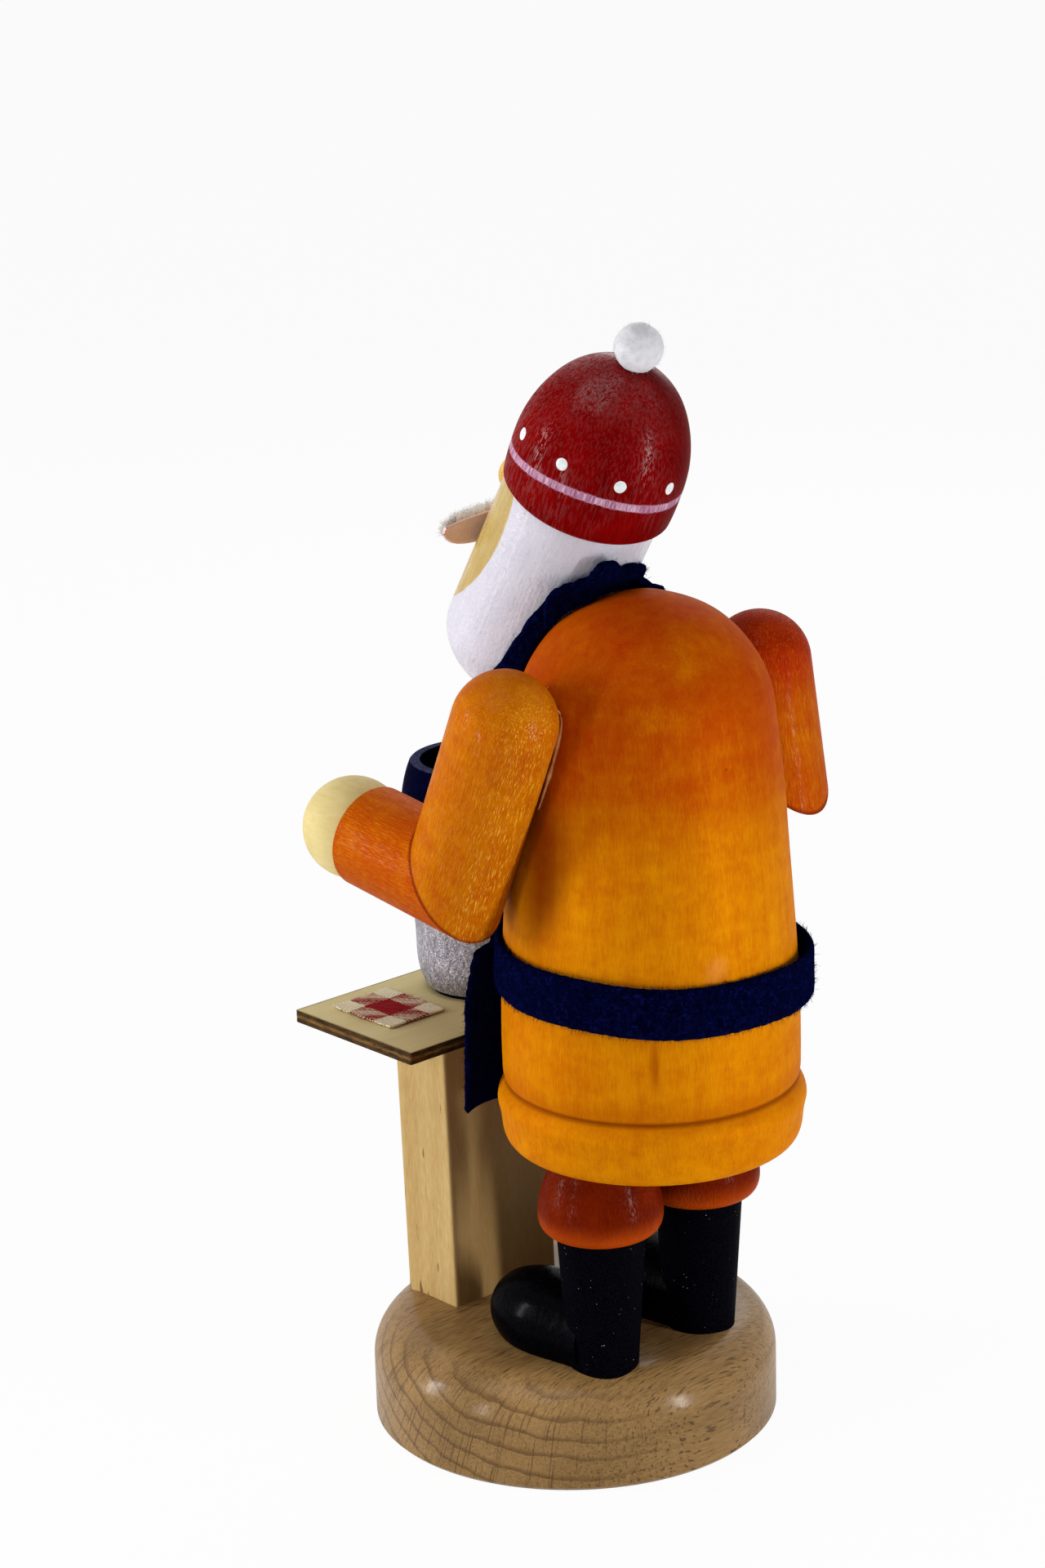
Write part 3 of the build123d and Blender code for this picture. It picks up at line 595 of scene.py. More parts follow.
# Painted shade: a dark line in the groove and a softer darker band just above it.
tone = blend(tone, hue(92, 34, 3), ebb(abs(z - GROOVE_Z), 0.0001, 0.0010) * 0.75)
tone = blend(tone, hue(166, 78, 3), ebb(abs(z - GROOVE_Z - 0.001), 0.0005, 0.005) * 0.4)
run = ebb(near(place, RUN_AT, 0.22) + (mottle - 0.5) * 0.001, 0.0001, 0.0017)
tone = blend(tone, hue(146, 48, 3), run * 0.6)
# Painted highlight: a pale smear on the back of the coat.
painted_highlight = ebb(near(place, PAINTED_HIGHLIGHT_AT, 1.0) + (mottle - 0.5) * 0.003, 0.0004, 0.0038)
tone = blend(tone, hue(212, 132, 66), painted_highlight * 0.35)
tone = blend(tone, hue(60, 22, 4), ebb(spots(place, 58.0), 0.012, 0.028) * 0.8)
feed(coat_stain, Base_Color=tone, Roughness=0.40 + thread * 0.16, Normal=bump(thread, 0.00007))
dress(coat_stain, "coat")


# Arms: round linden bars, mitred and dowelled at the elbow, coped to the coat and
# stained with it. Stain and glue lie dark in the mitre seams. Golden glints are
# painted on along the grain.

SLEEVE_R = 0.0106
# Middle of the shoulder, the elbow and the wrist.
ARMS = {
    "left": ((0.0364, COAT_Y - 0.0028, 0.1645), (0.0364, COAT_Y - 0.0183, 0.1292),
             (0.0364, COAT_Y - 0.0496, 0.1333)),
    "right": ((-0.0336, COAT_Y - 0.0028, 0.1627), (-0.0336, COAT_Y, 0.1463),
              (-0.0336, COAT_Y - 0.0330, 0.1520)),
}
# Depth of the stain, how far it fades down the upper arm, and gloss there.
STAINS = {"left": (0.36, 0.0, 0.2), "right": (1.1, 0.5, 0.07)}


def turned(vector, origin, angles):
    """Coordinates in a frame that stands at an origin, turned by angles in degrees."""
    turn = tuple(math.radians(a) for a in angles)
    return vector.node("Mapping", {"vector_type": "TEXTURE"},
                       {"Vector": vector, "Location": origin, "Rotation": turn})


def sleeve(name, start, end, seam, seam_way, deep, fade=0.0, gloss=0.04):
    """Stain and painted glints for one arm piece, its grain running from start to end."""
    made, place = finish(name, Metallic=0.1, Coat_Roughness=0.22, Specular_IOR_Level=0.01,
                         Specular_Tint=GOLD)
    run = Vector(end) - Vector(start)
    local = turned(place, start, (math.degrees(math.atan2(-run.y, run.z)), 0, 0))
    tone, thread, _, mottle = amber(local, deep - rise(axis(local, 2), -0.008, 0.012) * fade)
    glint = streaks(local, 0.13, 4200.0, 2.0, 0.6)
    # Painted glints: golden dashes along the grain over the whole piece, stronger on the side that faces
    # +Y and weaker where the stain fades.
    lit = rise(facing(place, 1), 0.45, 0.95)
    tone = blend(tone, hue(246, 186, 56), rise(glint, 0.54, 0.68) * (0.1 + lit * (0.55 - fade * 1.1)))
    off = place.node("VectorMath", {"operation": "SUBTRACT"}, {0: place, 1: seam})
    away = abs(off.node("VectorMath", {"operation": "DOT_PRODUCT"}, {0: off, 1: seam_way}, "Value"))
    line = ebb(away + (mottle - 0.5) * 0.0006, 0.0001, 0.0008)
    tone = blend(tone, hue(112, 20, 3), line * 0.8)
    peel = noise(place, 900.0, 2.0)
    feed(made, Base_Color=tone, Roughness=0.34 + thread * 0.14,
         Coat_Weight=rise(glint * 0.7 + peel * 0.3, 0.48, 0.6) * gloss,
         Normal=bump(thread + glint + peel, 0.00014))
    return made


for side, (shoulder, elbow, wrist) in ARMS.items():
    seam_way = tuple(((Vector(elbow) - Vector(shoulder)).normalized()
                      + (Vector(wrist) - Vector(elbow)).normalized()).normalized())
    deep, fade, gloss = STAINS[side]
    dress(sleeve(side + "_upper_stain", shoulder, elbow, elbow, seam_way, deep, fade, gloss),
          side + "_upper_arm")
    dress(sleeve(side + "_fore_stain", elbow, wrist, elbow, seam_way, deep + 0.24 - fade * 0.7),
          side + "_forearm")

hand_maple, place = finish("hand_maple", Roughness=0.6, Specular_IOR_Level=0.1)
thread = noise(stretched(place, 0.5, 0.16, 1), 1500.0, 3.0)
cloud = noise(place, 150.0, 3.0)
feed(hand_maple, Base_Color=ramp(cloud * 0.6 + thread * 0.4, (0.3, hue(202, 180, 118)),
                                 (0.55, hue(214, 195, 136)), (0.8, hue(224, 207, 152))),
     Normal=bump(thread, 0.00004))
dress(hand_maple, "left_hand", "right_hand")


# Glue line: the clear wood glue that squeezed out where the left arm is coped to
# the coat, dried to a shiny bead along the back of the joint.

BEAD_RINGS, BEAD_SIDES = 60, 10
BEAD_START, BEAD_LONG, BEAD_R = -0.0045, 0.0222, 0.0006
BEAD_SHIFT = Vector((-0.0011, 0.0014, 0))
BEAD_LIFT = 0.0001
HALVINGS = 22

coat_tree = BVHTree.FromObject(nodes["coat"], bpy.context.evaluated_depsgraph_get())
shoulder, elbow = Vector(ARMS["left"][0]), Vector(ARMS["left"][1])
down = (elbow - shoulder).normalized()
inward = Vector((-1, 0, 0))
backward = Vector((0, 1, 0))
backward = (backward - down * backward.dot(down)).normalized()


def off_coat(point):
    """Distance of a point from the coat's surface, below zero inside the wood."""
    skin, normal, _, gap = coat_tree.find_nearest(point)
    return gap if (point - skin).dot(normal) > 0 else -gap


def on_sleeve(s, angle):
    """Place on the left upper arm, s down from the shoulder, an angle from its back to the coat."""
    radius = SLEEVE_R if s > 0 else math.sqrt(max(1e-9, SLEEVE_R ** 2 - s * s))
    return shoulder + down * s + (backward * math.cos(angle) + inward * math.sin(angle)) * radius


glue, place = finish("dried_glue", Roughness=0.1, Specular_IOR_Level=0.4)
feed(glue, Base_Color=ramp(noise(place, 500.0), (0.3, hue(196, 112, 34)), (0.75, hue(236, 178, 112))),
     Normal=bump(noise(place, 700.0), 0.0001))
bead = []
for k in range(BEAD_RINGS):
    s = BEAD_START + BEAD_LONG * k / (BEAD_RINGS - 1)
    low, high = 0.0, math.pi * 0.62
    for _ in range(HALVINGS):
        middle = (low + high) / 2
        low, high = (middle, high) if off_coat(on_sleeve(s, middle)) > 0 else (low, middle)
    skin, normal, _, _ = coat_tree.find_nearest(on_sleeve(s, low) + BEAD_SHIFT)
    bead.append(skin + normal * BEAD_LIFT)
bead_points = []
for k, p in enumerate(bead):
    along = (bead[min(k + 1, BEAD_RINGS - 1)] - bead[max(k - 1, 0)]).normalized()
    side = along.orthogonal().normalized()
    taper = math.sin(math.pi * (k + 0.6) / (BEAD_RINGS + 0.2)) ** 0.5
    swell = BEAD_R * taper * (0.75 + 0.5 * field.noise(p * 350))
    bead_points += circle(p, side, along.cross(side), swell, BEAD_SIDES)
glue_bead = piece("glue_bead", bead_points, tube(BEAD_RINGS, BEAD_SIDES), glue, "coat_group")


# Belt: a 10 mm strip of navy craft felt wound round the coat and lapped at the
# front left, its end folded down to hang free; it stands off the coat on the right.

FELT = 0.0016
FELT_WOBBLE, FELT_PITCH = 0.00012, 900.0
STRIP_WIDE = 0.010
STRIP_COLUMNS = 16
BELT_ROWS = 520
BELT_LOW, BELT_HIGH = 0.1033, 0.1125
BELT_END, BELT_LAP = math.radians(-64), 0.16
BELT_HITCH = math.radians(-42)
BELT_LOOSE = math.radians(142)
TAIL_ROWS = 80
TAIL_AT = Vector((COAT_X + 0.0270, COAT_Y - 0.0204, 0.1110))
TAIL_LONG, TAIL_OFF = 0.0348, 0.0046
# How far the tail stands off, as a share of the most, and at which share of its length.
TAIL_HANG = ((0.0, 0.0), (0.2, 0.137), (0.62, 0.356), (0.92, 0.658), (0.95, 1.0))
FUZZ_LONG, FUZZ_THIN, FUZZ_CURL = 0.0012, 0.0001, 0.6

navy_felt, place = finish("navy_felt", Sheen_Weight=0.06, Sheen_Roughness=0.45, Roughness=0.95,
                          Sheen_Tint=hue(70, 90, 200), Specular_IOR_Level=0.0)
mat = noise(place, 900.0, 4.0, 0.7, 1.2)
hairs = streaks(place, 2.2, 2600.0, 3.0, 0.7, 2.0)
feed(navy_felt, Base_Color=ramp(mat * 0.5 + hairs * 0.5, (0.38, hue(0, 0, 8)), (0.53, hue(2, 3, 34)),
                                (0.68, hue(22, 32, 112))),
     Normal=bump(mat + hairs * 0.6, 0.00035))


def coat_radius(angle, height, outside=0.06):
    """Radius of the coat at a height, seen from outside in one direction."""
    way = Vector((math.cos(angle), math.sin(angle), 0))
    start = Vector((COAT_X, COAT_Y, height)) + way * outside
    return outside - coat_tree.ray_cast(start, -way)[3]


def on_belt(s, v):
    """Place on the belt, s of its way round from its end and v of its width up."""
    angle = BELT_END + s * (2 * math.pi + BELT_LAP)
    lap = max(0.0, min(1.0, (s - 0.945) / 0.03))
    stand = 0.0011 * math.exp(-((angle - BELT_LOOSE) / 0.42) ** 2)
    stand += 0.00025 * math.sin(angle * 3 + 0.6) + 0.0003
    sway = 0.0017 * math.cos(angle - BELT_HITCH) - 0.0003 + 0.00025 * math.sin(angle * 5)
    height = BELT_LOW + sway + (BELT_HIGH - BELT_LOW) * v
    height += 0.00018 * field.noise(Vector((angle * 22, v * 3, 1.0))) * (1 if v in (0, 1) else 0.3)
    flare = 0.0004 * (v - 0.5) * math.exp(-((angle - BELT_LOOSE) / 0.5) ** 2)
    r = coat_radius(angle, min(max(height, 0.1), 0.116))
    r += FELT / 2 + stand + flare + lap * FELT * 1.05
    return Vector((COAT_X + r * math.cos(angle), COAT_Y + r * math.sin(angle), height))


belt_grid = net(BELT_ROWS, STRIP_COLUMNS, on_belt)
belt = piece("felt_belt", *sheet_mesh(belt_grid, FELT, FELT_WOBBLE, FELT_PITCH),
             navy_felt, "coat_group")
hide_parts("belt")


def on_tail(s, v):
    """Place on the hanging end, s of its way down and v of its width across."""
    k = max(n for n in range(len(TAIL_HANG) - 1) if TAIL_HANG[n][1] <= s)
    (off, at), (next_off, next_at) = TAIL_HANG[k:k + 2]
    t = (s - at) / (next_at - at)
    t = t * t * (3 - 2 * t) if k == 0 else t
    flare = TAIL_OFF * (off + (next_off - off) * t) + 0.0008
    bearing = math.radians(191.5 - 11.5 * s)
    wide_way = Vector((math.cos(bearing), math.sin(bearing), 0))
    out_way = Vector((-math.sin(bearing), math.cos(bearing), 0))
    cup = 0.0007 * math.sin(math.pi * v) * (0.4 + s) + 0.0004 * math.sin(s * 7 + v * 2)
    p = TAIL_AT + wide_way * (STRIP_WIDE * v + 0.0003 * field.noise(Vector((s * 25, v, 2.0))))
    p += out_way * (flare + cup + FELT / 2)
    p.z -= TAIL_LONG * s + 0.0010 * (1 - v) * s
    return p


tail_grid = net(TAIL_ROWS, STRIP_COLUMNS, on_tail)
tail = piece("felt_belt_tail", *sheet_mesh(tail_grid, FELT, FELT_WOBBLE, FELT_PITCH),
             navy_felt, "coat_group")


def edge_fuzz(grid, count, seed):
    """Roots of loose felt fibres along the long edges of a strip and over its face."""
    draw = random.Random(seed)
    found = []
    rows, columns = len(grid), len(grid[0])
    for _ in range(count):
        i = draw.randrange(1, rows - 1)
        along = (grid[i + 1][columns // 2] - grid[i - 1][columns // 2]).normalized()
        out = along.cross(grid[i][-1] - grid[i][0]).normalized()
        if draw.random() < 0.72:
            j, inner = (0, 1) if draw.random() < 0.55 else (-1, -2)
            way = (grid[i][j] - grid[i][inner]).normalized()
            root = grid[i][j] + out * FELT * draw.uniform(-0.45, 0.45)
        else:
            j = draw.randrange(1, columns - 1)
            way = out * draw.choice((1, 1, 1, -1))
            root = grid[i][j] + way * FELT * 0.45
            way = way * 0.5 + along * draw.uniform(-1, 1)
        way = way + along * draw.uniform(-0.5, 0.5) + out * draw.uniform(-0.3, 0.3)
        found.append((root, way))
    return found


def joined(*meshes):
    """Points and faces of several meshes in one."""
    points, faces = [], []
    for more, linked in meshes:
        faces += [tuple(n + len(points) for n in f) for f in linked]
        points += more
    return points, faces


def felt_fuzz(*strips):
    """Points and faces of the loose fibres on strips, each with their number and a seed."""
    return joined(*(fibres(edge_fuzz(grid, count, seed), FUZZ_LONG, FUZZ_THIN, FUZZ_CURL, seed + 30)
                    for grid, count, seed in strips))


belt_fuzz = piece("felt_belt_fuzz", *felt_fuzz((belt_grid, 3600, 21), (tail_grid, 700, 22)),
                  navy_felt, "coat_group")


# Head: a turned cylinder with a rounded beard end, painted white over the grain.
# A bare oval is left in front for the face, with eyes and brows dabbed on in paint.

HEAD_AT = Vector((COAT_X, COAT_Y - 0.0211, 0.1937))
HEAD_TILT = 31.0
HEAD_R = 0.0160
FACE_TURN, FACE_DOWN, FACE_TALL = math.radians(80.5), 0.001, 0.029
CHEEK_TURN, CHEEK_DOWN = 0.72, 0.0015
# Turn from the front, then how far down, half width, half height and thickness.
EYE = (0.40, -0.0033, 0.00105, 0.0014, 0.00028)
BROW = (0.42, -0.0064, 0.0025, 0.0006, 0.00022)
DROP_RINGS, DROP_SIDES, DROP_SUNK = 6, 20, 0.00003

head_paint, place = finish("head_paint", Specular_IOR_Level=0.3)
local = turned(place, tuple(HEAD_AT), (-HEAD_TILT, 0, 0))
round_at = place.sum("ARCTAN2", axis(local, 0), 0 - axis(local, 1))
low_at = 0 - axis(local, 2)
brush = streaks(local, 0.07, 800.0, 4.0, 0.6)
cloud = noise(local, 130.0, 3.0)
oval = (round_at / FACE_TURN) ** 2.0 + ((low_at - FACE_DOWN) / FACE_TALL) ** 2.0
skin = ebb(oval + waver(place, 500.0, 0.05), 0.985, 1.015)
white = ramp(brush * 0.5 + cloud * 0.5, (0.3, hue(195, 192, 203)), (0.5, hue(206, 203, 215)),
             (0.72, hue(218, 215, 226)))
stain = rise(noise(local, 420.0, 2.0), 0.66, 0.74)
white = blend(white, hue(196, 168, 160), stain * 0.25)
grain = streaks(local, 0.05, 1100.0, 3.0)
bare = ramp(grain * 0.5 + cloud * 0.5, (0.3, hue(170, 138, 66)), (0.7, hue(194, 169, 102)))
cheek = place.node("CombineXYZ", {}, {0: abs(round_at) - CHEEK_TURN, 1: (low_at - CHEEK_DOWN) / HEAD_R})
bare = blend(bare, hue(206, 112, 78), ebb(distance(cheek, (0, 0, 0)), 0.05, 0.26) * 0.55)
gloss = rise(brush * 0.6 + cloud * 0.4, 0.42, 0.56)
feed(head_paint, Base_Color=blend(white, bare, skin), Roughness=0.5 - gloss * 0.32,
     Normal=bump(brush * 0.8 + noise(local, 900.0, 2.0) * 0.8 + cloud * 0.5, 0.0002))
dress(head_paint, "head")

nose_wood, place = finish("nose_wood", Coat_Weight=0.3, Coat_Roughness=0.2)
cloud = noise(place, 260.0, 3.0)
feed(nose_wood, Base_Color=ramp(cloud, (0.3, hue(200, 152, 66)), (0.7, hue(224, 186, 100))),
     Roughness=0.42 + cloud * 0.1, Normal=bump(noise(place, 1500.0), 0.00006))
dress(nose_wood, "nose")


def tipped(degrees):
    """Up and front of a piece that is tipped back by some degrees."""
    a = math.radians(degrees)
    return Vector((0, math.sin(a), math.cos(a))), Vector((0, -math.cos(a), math.sin(a)))


head_x = Vector((1, 0, 0))
head_up, head_out = tipped(HEAD_TILT)


def on_head(angle, down, radius):
    return HEAD_AT - head_up * down + (head_out * math.cos(angle) + head_x * math.sin(angle)) * radius


def drop(angle, down, wide, tall, thick):
    """Points and faces of a domed drop of paint on the head."""
    points = []
    for ring in range(DROP_RINGS + 1):
        s = ring / DROP_RINGS
        dome = HEAD_R + thick * (1 - s * s) - DROP_SUNK
        for k in range(DROP_SIDES):
            a = 2 * math.pi * k / DROP_SIDES
            away = angle + math.cos(a) * wide * s / HEAD_R
            points.append(on_head(away, down + math.sin(a) * tall * s, dome))
    return points, band(DROP_RINGS + 1, DROP_SIDES)


def dab(name, scale, dark, light, rough, **fixed):
    """Paint for a small mark, between a dark and a light colour."""
    made, place = finish(name, **fixed)
    feed(made, Base_Color=ramp(noise(place, scale), dark, light),
         Roughness=rough + noise(place, 900.0) * 0.1)
    return made


eye_paint = dab("eye_paint", 900.0, (0.3, hue(10, 8, 8)), (0.8, hue(26, 22, 22)), 0.3,
                Coat_Weight=0.6, Coat_Roughness=0.08)
brow_paint = dab("brow_paint", 1200.0, (0.3, hue(196, 192, 200)), (0.8, hue(228, 226, 232)), 0.4,
                 Coat_Weight=0.2, Coat_Roughness=0.2)
for name, side in (("left", 1), ("right", -1)):
    eye = piece(name + "_eye", *drop(side * EYE[0], *EYE[1:]), eye_paint, "coat_group")
    brow = piece(name + "_brow", *drop(side * BROW[0], *BROW[1:]), brow_paint, "coat_group")


# Moustache: a crescent cut from white pile fabric and glued on under the nose by
# its middle, so both ends stand free with the pinkish backing showing behind.

TASH_DOWN = 0.0090
TASH_SPAN, TASH_H = 0.0340, 0.0080
TASH_THICK, TASH_LIFT, TASH_BEND = 0.0007, 0.00038, 0.0009
TASH_ROWS, TASH_COLUMNS = 68, 14
PILE = 0.0017
PILE_GAP = 0.0003
PILE_FIBRES = 7400
BARE_ROWS, THIN_ROWS, TOP_COLUMN = 6, 9, 12

backing, place = finish("pile_backing", Roughness=0.95, Specular_IOR_Level=0.0)
knit = noise(place, 2400.0, 3.0)
feed(backing, Base_Color=ramp(knit, (0.3, hue(238, 204, 200)), (0.75, hue(250, 224, 220))),
     Normal=bump(knit, 0.00012))
pile, place = finish("pile_white", Roughness=0.9, Sheen_Weight=0.3)
feed(pile, Base_Color=ramp(noise(place, 1100.0), (0.34, hue(222, 216, 210)), (0.62, hue(250, 247, 243))))


def on_tash(s, v):
    """Place on the crescent, s of its span from the right and v of its height up."""
    x = (s - 0.5) * TASH_SPAN
    t = abs(x) / (TASH_SPAN / 2)
    top = TASH_H * (0.12 - 0.12 * t ** 2)
    low = TASH_H * (-0.88 + 0.2 * t ** 2 + 0.48 * t ** 4.5)
    off = HEAD_R + TASH_LIFT - TASH_BEND * t ** 2
    p = HEAD_AT - head_up * TASH_DOWN + head_x * x + head_up * (low + (top - low) * v)
    return p + head_out * (off + 0.0002 * math.sin(v * 3))


tash_grid = net(TASH_ROWS, TASH_COLUMNS, on_tash)
tash = piece("moustache_backing", *sheet_mesh(tash_grid, TASH_THICK, wobble=0.00004, pitch=1500.0),
             backing, "coat_group")
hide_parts("moustache")

pile_grid = [[p + head_out * (PILE / 2 + PILE_GAP) for p in row]
             for row in tash_grid[BARE_ROWS:-BARE_ROWS]]
draw = random.Random(41)
roots = []
for _ in range(PILE_FIBRES):
    i, j = draw.uniform(1.0, TASH_ROWS - 1.0), draw.uniform(0, TASH_COLUMNS - 0.001)
    a, b = int(i), int(j)
    p = tash_grid[a][b].lerp(tash_grid[a + 1][b], i - a)
    p = p + (tash_grid[a][b + 1] - tash_grid[a][b]) * (j - b)
    at_top = b >= TOP_COLUMN
    lean = head_out + head_up * (draw.uniform(-0.3, 0.4) + (0.9 if at_top else 0))
    lean = lean + head_x * draw.uniform(-0.35, 0.35)
    thin_end = min(1.0, i / THIN_ROWS, (TASH_ROWS - i) / THIN_ROWS)
    deep = PILE * thin_end * (draw.uniform(0.1, 1.0) if at_top else 0.95)
    roots.append((p + head_out * deep, lean))
pile_mesh = joined(sheet_mesh(pile_grid, PILE, wobble=0.0001, pitch=2200.0),
                   fibres(roots, length=0.0013, width=0.0002, curl=0.8, seed=42))
tash_pile = piece("moustache_pile", *pile_mesh, pile, "coat_group")


# Scarf: a strip of the same felt laid round the neck in the corner between head
# and coat, its ends lapped at the nape and cut roughly with scissors.

SCARF_STEPS, SCARF_COLUMNS = 12, 10
SCARF_CROWN, SCARF_WAVE = 0.0009, 0.0004
WRAP_WOBBLE, LAP_WOBBLE = 0.00014, 0.00016
SMOOTHINGS = 2
# Upper edge on the head (degrees round, mm down, mm off it), and how far the lower edge on the
# coat lies beyond it (degrees, mm down, mm out).
LEFT_WRAP = ((118, 29.0, 0, 12, 1, 2.0), (122, 25.0, 0, 14, 1, 2.0), (124, 19.0, 0, 16, 1, 2.0),
             (128, 12.5, 0, 16, 3, 2.0), (134, 6.5, 0, 14, 6, 2.0), (142, 2.0, 0, 8, 10, 2.0),
             (152, -1.0, 0, 3, 9, 2.5), (165, -3.0, 0, 0, 8, 3.0), (180, -4.0, 0, 0, 8, 3.0))
RIGHT_WRAP = tuple((360 - turn, down, off, -lead, fall, out)
                   for turn, down, off, lead, fall, out in LEFT_WRAP[-2::-1])
NAPE_LAP = ((132.5, 2.0, 0, 8, 10, 2.0), (140, 0.5, 0, 6, 9, 2.5), (147, -1.0, 0, 4, 9, 3.0),
            (154.5, -2.6, 0, 2, 9, 3.0), (155.2, -6.6, 0, 2, 11, 3.0), (162, -7.4, 0, 0, 11, 3.5),
            (175, -4.4, 0, 0, 9, 4.0), (190, -1.6, 0, 0, 8, 4.5), (198, 1.2, 1.2, 0, 6, 5.0),
            (204, 4.2, 3.4, 0, 4, 6.0))


def scarf_grid(rows, layer, seed):
    """Rows of a felt strip that bridges the corner between head and coat."""
    grid = []
    for first, last in zip(rows, rows[1:]):
        for k in range(SCARF_STEPS):
            turn, down, off, lead, fall, out = (a + (b - a) * k / SCARF_STEPS for a, b in zip(first, last))
            radius = HEAD_R + off / 1000
            top = on_head(math.radians(turn), down / 1000, radius + FELT * (0.55 + layer))
            foot = on_head(math.radians(turn + lead), (down + fall) / 1000, radius + out / 1000)
            foot, normal, _, _ = coat_tree.find_nearest(foot)
            foot = foot + normal * FELT * (0.5 + 0.06 * layer)
            row = []
            for j in range(SCARF_COLUMNS + 1):
                v = j / SCARF_COLUMNS
                p = foot.lerp(top, v) + normal * SCARF_CROWN * math.sin(math.pi * v)
                wave = SCARF_WAVE * field.noise(Vector((turn / 7 + seed, v * 2.5, seed)))
                row.append(p + normal * wave + head_up * wave * 0.7 * v)
            grid.append(row)
    for _ in range(SMOOTHINGS):
        eased = [[(a + b * 2 + c) / 4 for a, b, c in zip(*three)]
                 for three in zip(grid, grid[1:], grid[2:])]
        grid = [grid[0]] + eased + [grid[-1]]
    return grid


wrap_grid = scarf_grid(LEFT_WRAP + RIGHT_WRAP, layer=0.0, seed=1.0)
scarf = piece("felt_scarf", *sheet_mesh(wrap_grid, FELT, WRAP_WOBBLE, FELT_PITCH), navy_felt, "coat_group")
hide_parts("scarf")
lap_grid = scarf_grid(NAPE_LAP, layer=1.0, seed=5.0)
lap = piece("felt_scarf_lap", *sheet_mesh(lap_grid, FELT, LAP_WOBBLE, FELT_PITCH), navy_felt, "coat_group")
scarf_fuzz = piece("felt_scarf_fuzz", *felt_fuzz((wrap_grid, 700, 61), (lap_grid, 500, 62)),
                   navy_felt, "coat_group")


# Hat: a turned cap painted glossy red, end grain showing through near the top,
# with a brushed lilac stripe and a ring of white dots, dowelled on the head.

HAT_AT = Vector((COAT_X, COAT_Y - 0.0157, 0.2016))
HAT_TILT = 26.5
WORN_FROM, WORN_TO = 0.020, 0.030
STRIPE_HALF = (0.00075, 0.00105)
DOT_R, DOT_THICK, DOT_SUNK = 0.00135, 0.00016, 0.00002
DOT_RINGS, DOT_SIDES = 4, 24
# Degrees round from the front, and mm up from the rim.
DOTS = ((64.5, 12.4), (106.7, 13.9), (148.3, 13.7), (188.4, 12.7), (227.0, 12.0), (267.0, 11.6),
        (308.0, 11.4), (348.5, 11.2), (26.0, 11.6))

hat_up, hat_out = tipped(HAT_TILT)
hat_tree = BVHTree.FromObject(nodes["hat"], bpy.context.evaluated_depsgraph_get())

hat_red, place = finish("hat_red", Coat_Roughness=0.24, Specular_IOR_Level=0.005,
                        Specular_Tint=hue(255, 90, 80))
local = turned(place, tuple(HAT_AT), (-HAT_TILT, 0, 0))
up_hat = axis(local, 2)
east = axis(local, 0)
front = 0 - axis(local, 1)
girth = (east * east + front * front) ** 0.5
ahead = front / girth
aside = east / girth
line_h = (0.00798 - 0.00119 * ahead + 0.0003 * aside - 0.00036 * (ahead * ahead * 2 - 1)
          - 0.00154 * aside * ahead)
brush = streaks(local, 0.12, 900.0, 4.0, 0.65)
pore = streaks(local, 0.3, 1500.0, 3.0, 0.7)
cloud = noise(local, 120.0, 3.0)
worn = rise(up_hat + (cloud - 0.5) * 0.016, WORN_FROM, WORN_TO)
pits = worn * rise(pore, 0.56, 0.64)
streak = streaks(local, 0.16, 2300.0, 2.0, 0.6)
tone = ramp(cloud * 0.6 + brush * 0.4, (0.3, hue(100, 1, 2)), (0.55, hue(122, 3, 4)),
            (0.75, hue(140, 9, 9)))
# Painted shade: the back right of the hat is painted darker, and its gloss coat is thinned there.
shaded_back_right = rise(ahead * -0.8 - aside * 0.6, 0.7, 1.0)
tone = blend(tone, hue(82, 0, 1), shaded_back_right * 0.6)
tone = blend(tone, hue(150, 18, 12), pits * 0.7)
bristle = streaks(local, 0.1, 2000.0, 2.0, 0.7)
stripe = ebb(abs(up_hat - line_h) + (bristle - 0.5) * 0.0010, *STRIPE_HALF)
lilac = ramp(bristle, (0.34, hue(146, 88, 118)), (0.52, hue(184, 134, 162)), (0.68, hue(218, 188, 206)))
tone = blend(tone, lilac, stripe * 0.92)
gloss = worn * rise(pore, 0.36, 0.6) * 0.4 + rise(streak, 0.47, 0.58) * 0.26
feed(hat_red, Base_Color=tone, Roughness=0.34 + pore * 0.16, Coat_Weight=gloss * (1 - shaded_back_right * 0.85),
     Normal=bump(brush * 0.5 + streak * 0.8 + pore * (0.5 + worn) - pits * 1.5 + stripe * 0.3, 0.0002))
dress(hat_red, "hat")

dot_white = dab("dot_white", 900.0, (0.3, hue(216, 222, 224)), (0.75, hue(240, 243, 244)), 0.35,
                Coat_Weight=0.3, Coat_Roughness=0.15)
dot_points, dot_faces = [], []
for turn, up in DOTS:
    turn = math.radians(turn)
    away = hat_out * math.cos(turn) + head_x * math.sin(turn)
    spot, normal, _, _ = hat_tree.ray_cast(HAT_AT + hat_up * up / 1000 + away * 0.03, -away)
    side = normal.cross(hat_up).normalized()
    dot_faces += band(DOT_RINGS + 1, DOT_SIDES, len(dot_points), flip=True)
    for ring in range(DOT_RINGS + 1):
        s = ring / DOT_RINGS
        for p in circle(spot, side, side.cross(normal), DOT_R * s, DOT_SIDES):
            skin, out, _, _ = hat_tree.find_nearest(p)
            dot_points.append(skin + out * (DOT_THICK * (1 - s * s) - DOT_SUNK))
dots = piece("hat_dots", dot_points, dot_faces, dot_white, "coat_group")


# Pompom: a ball of pressed white cotton on a pin, a little lumpy, with short
# fibres standing off its skin.

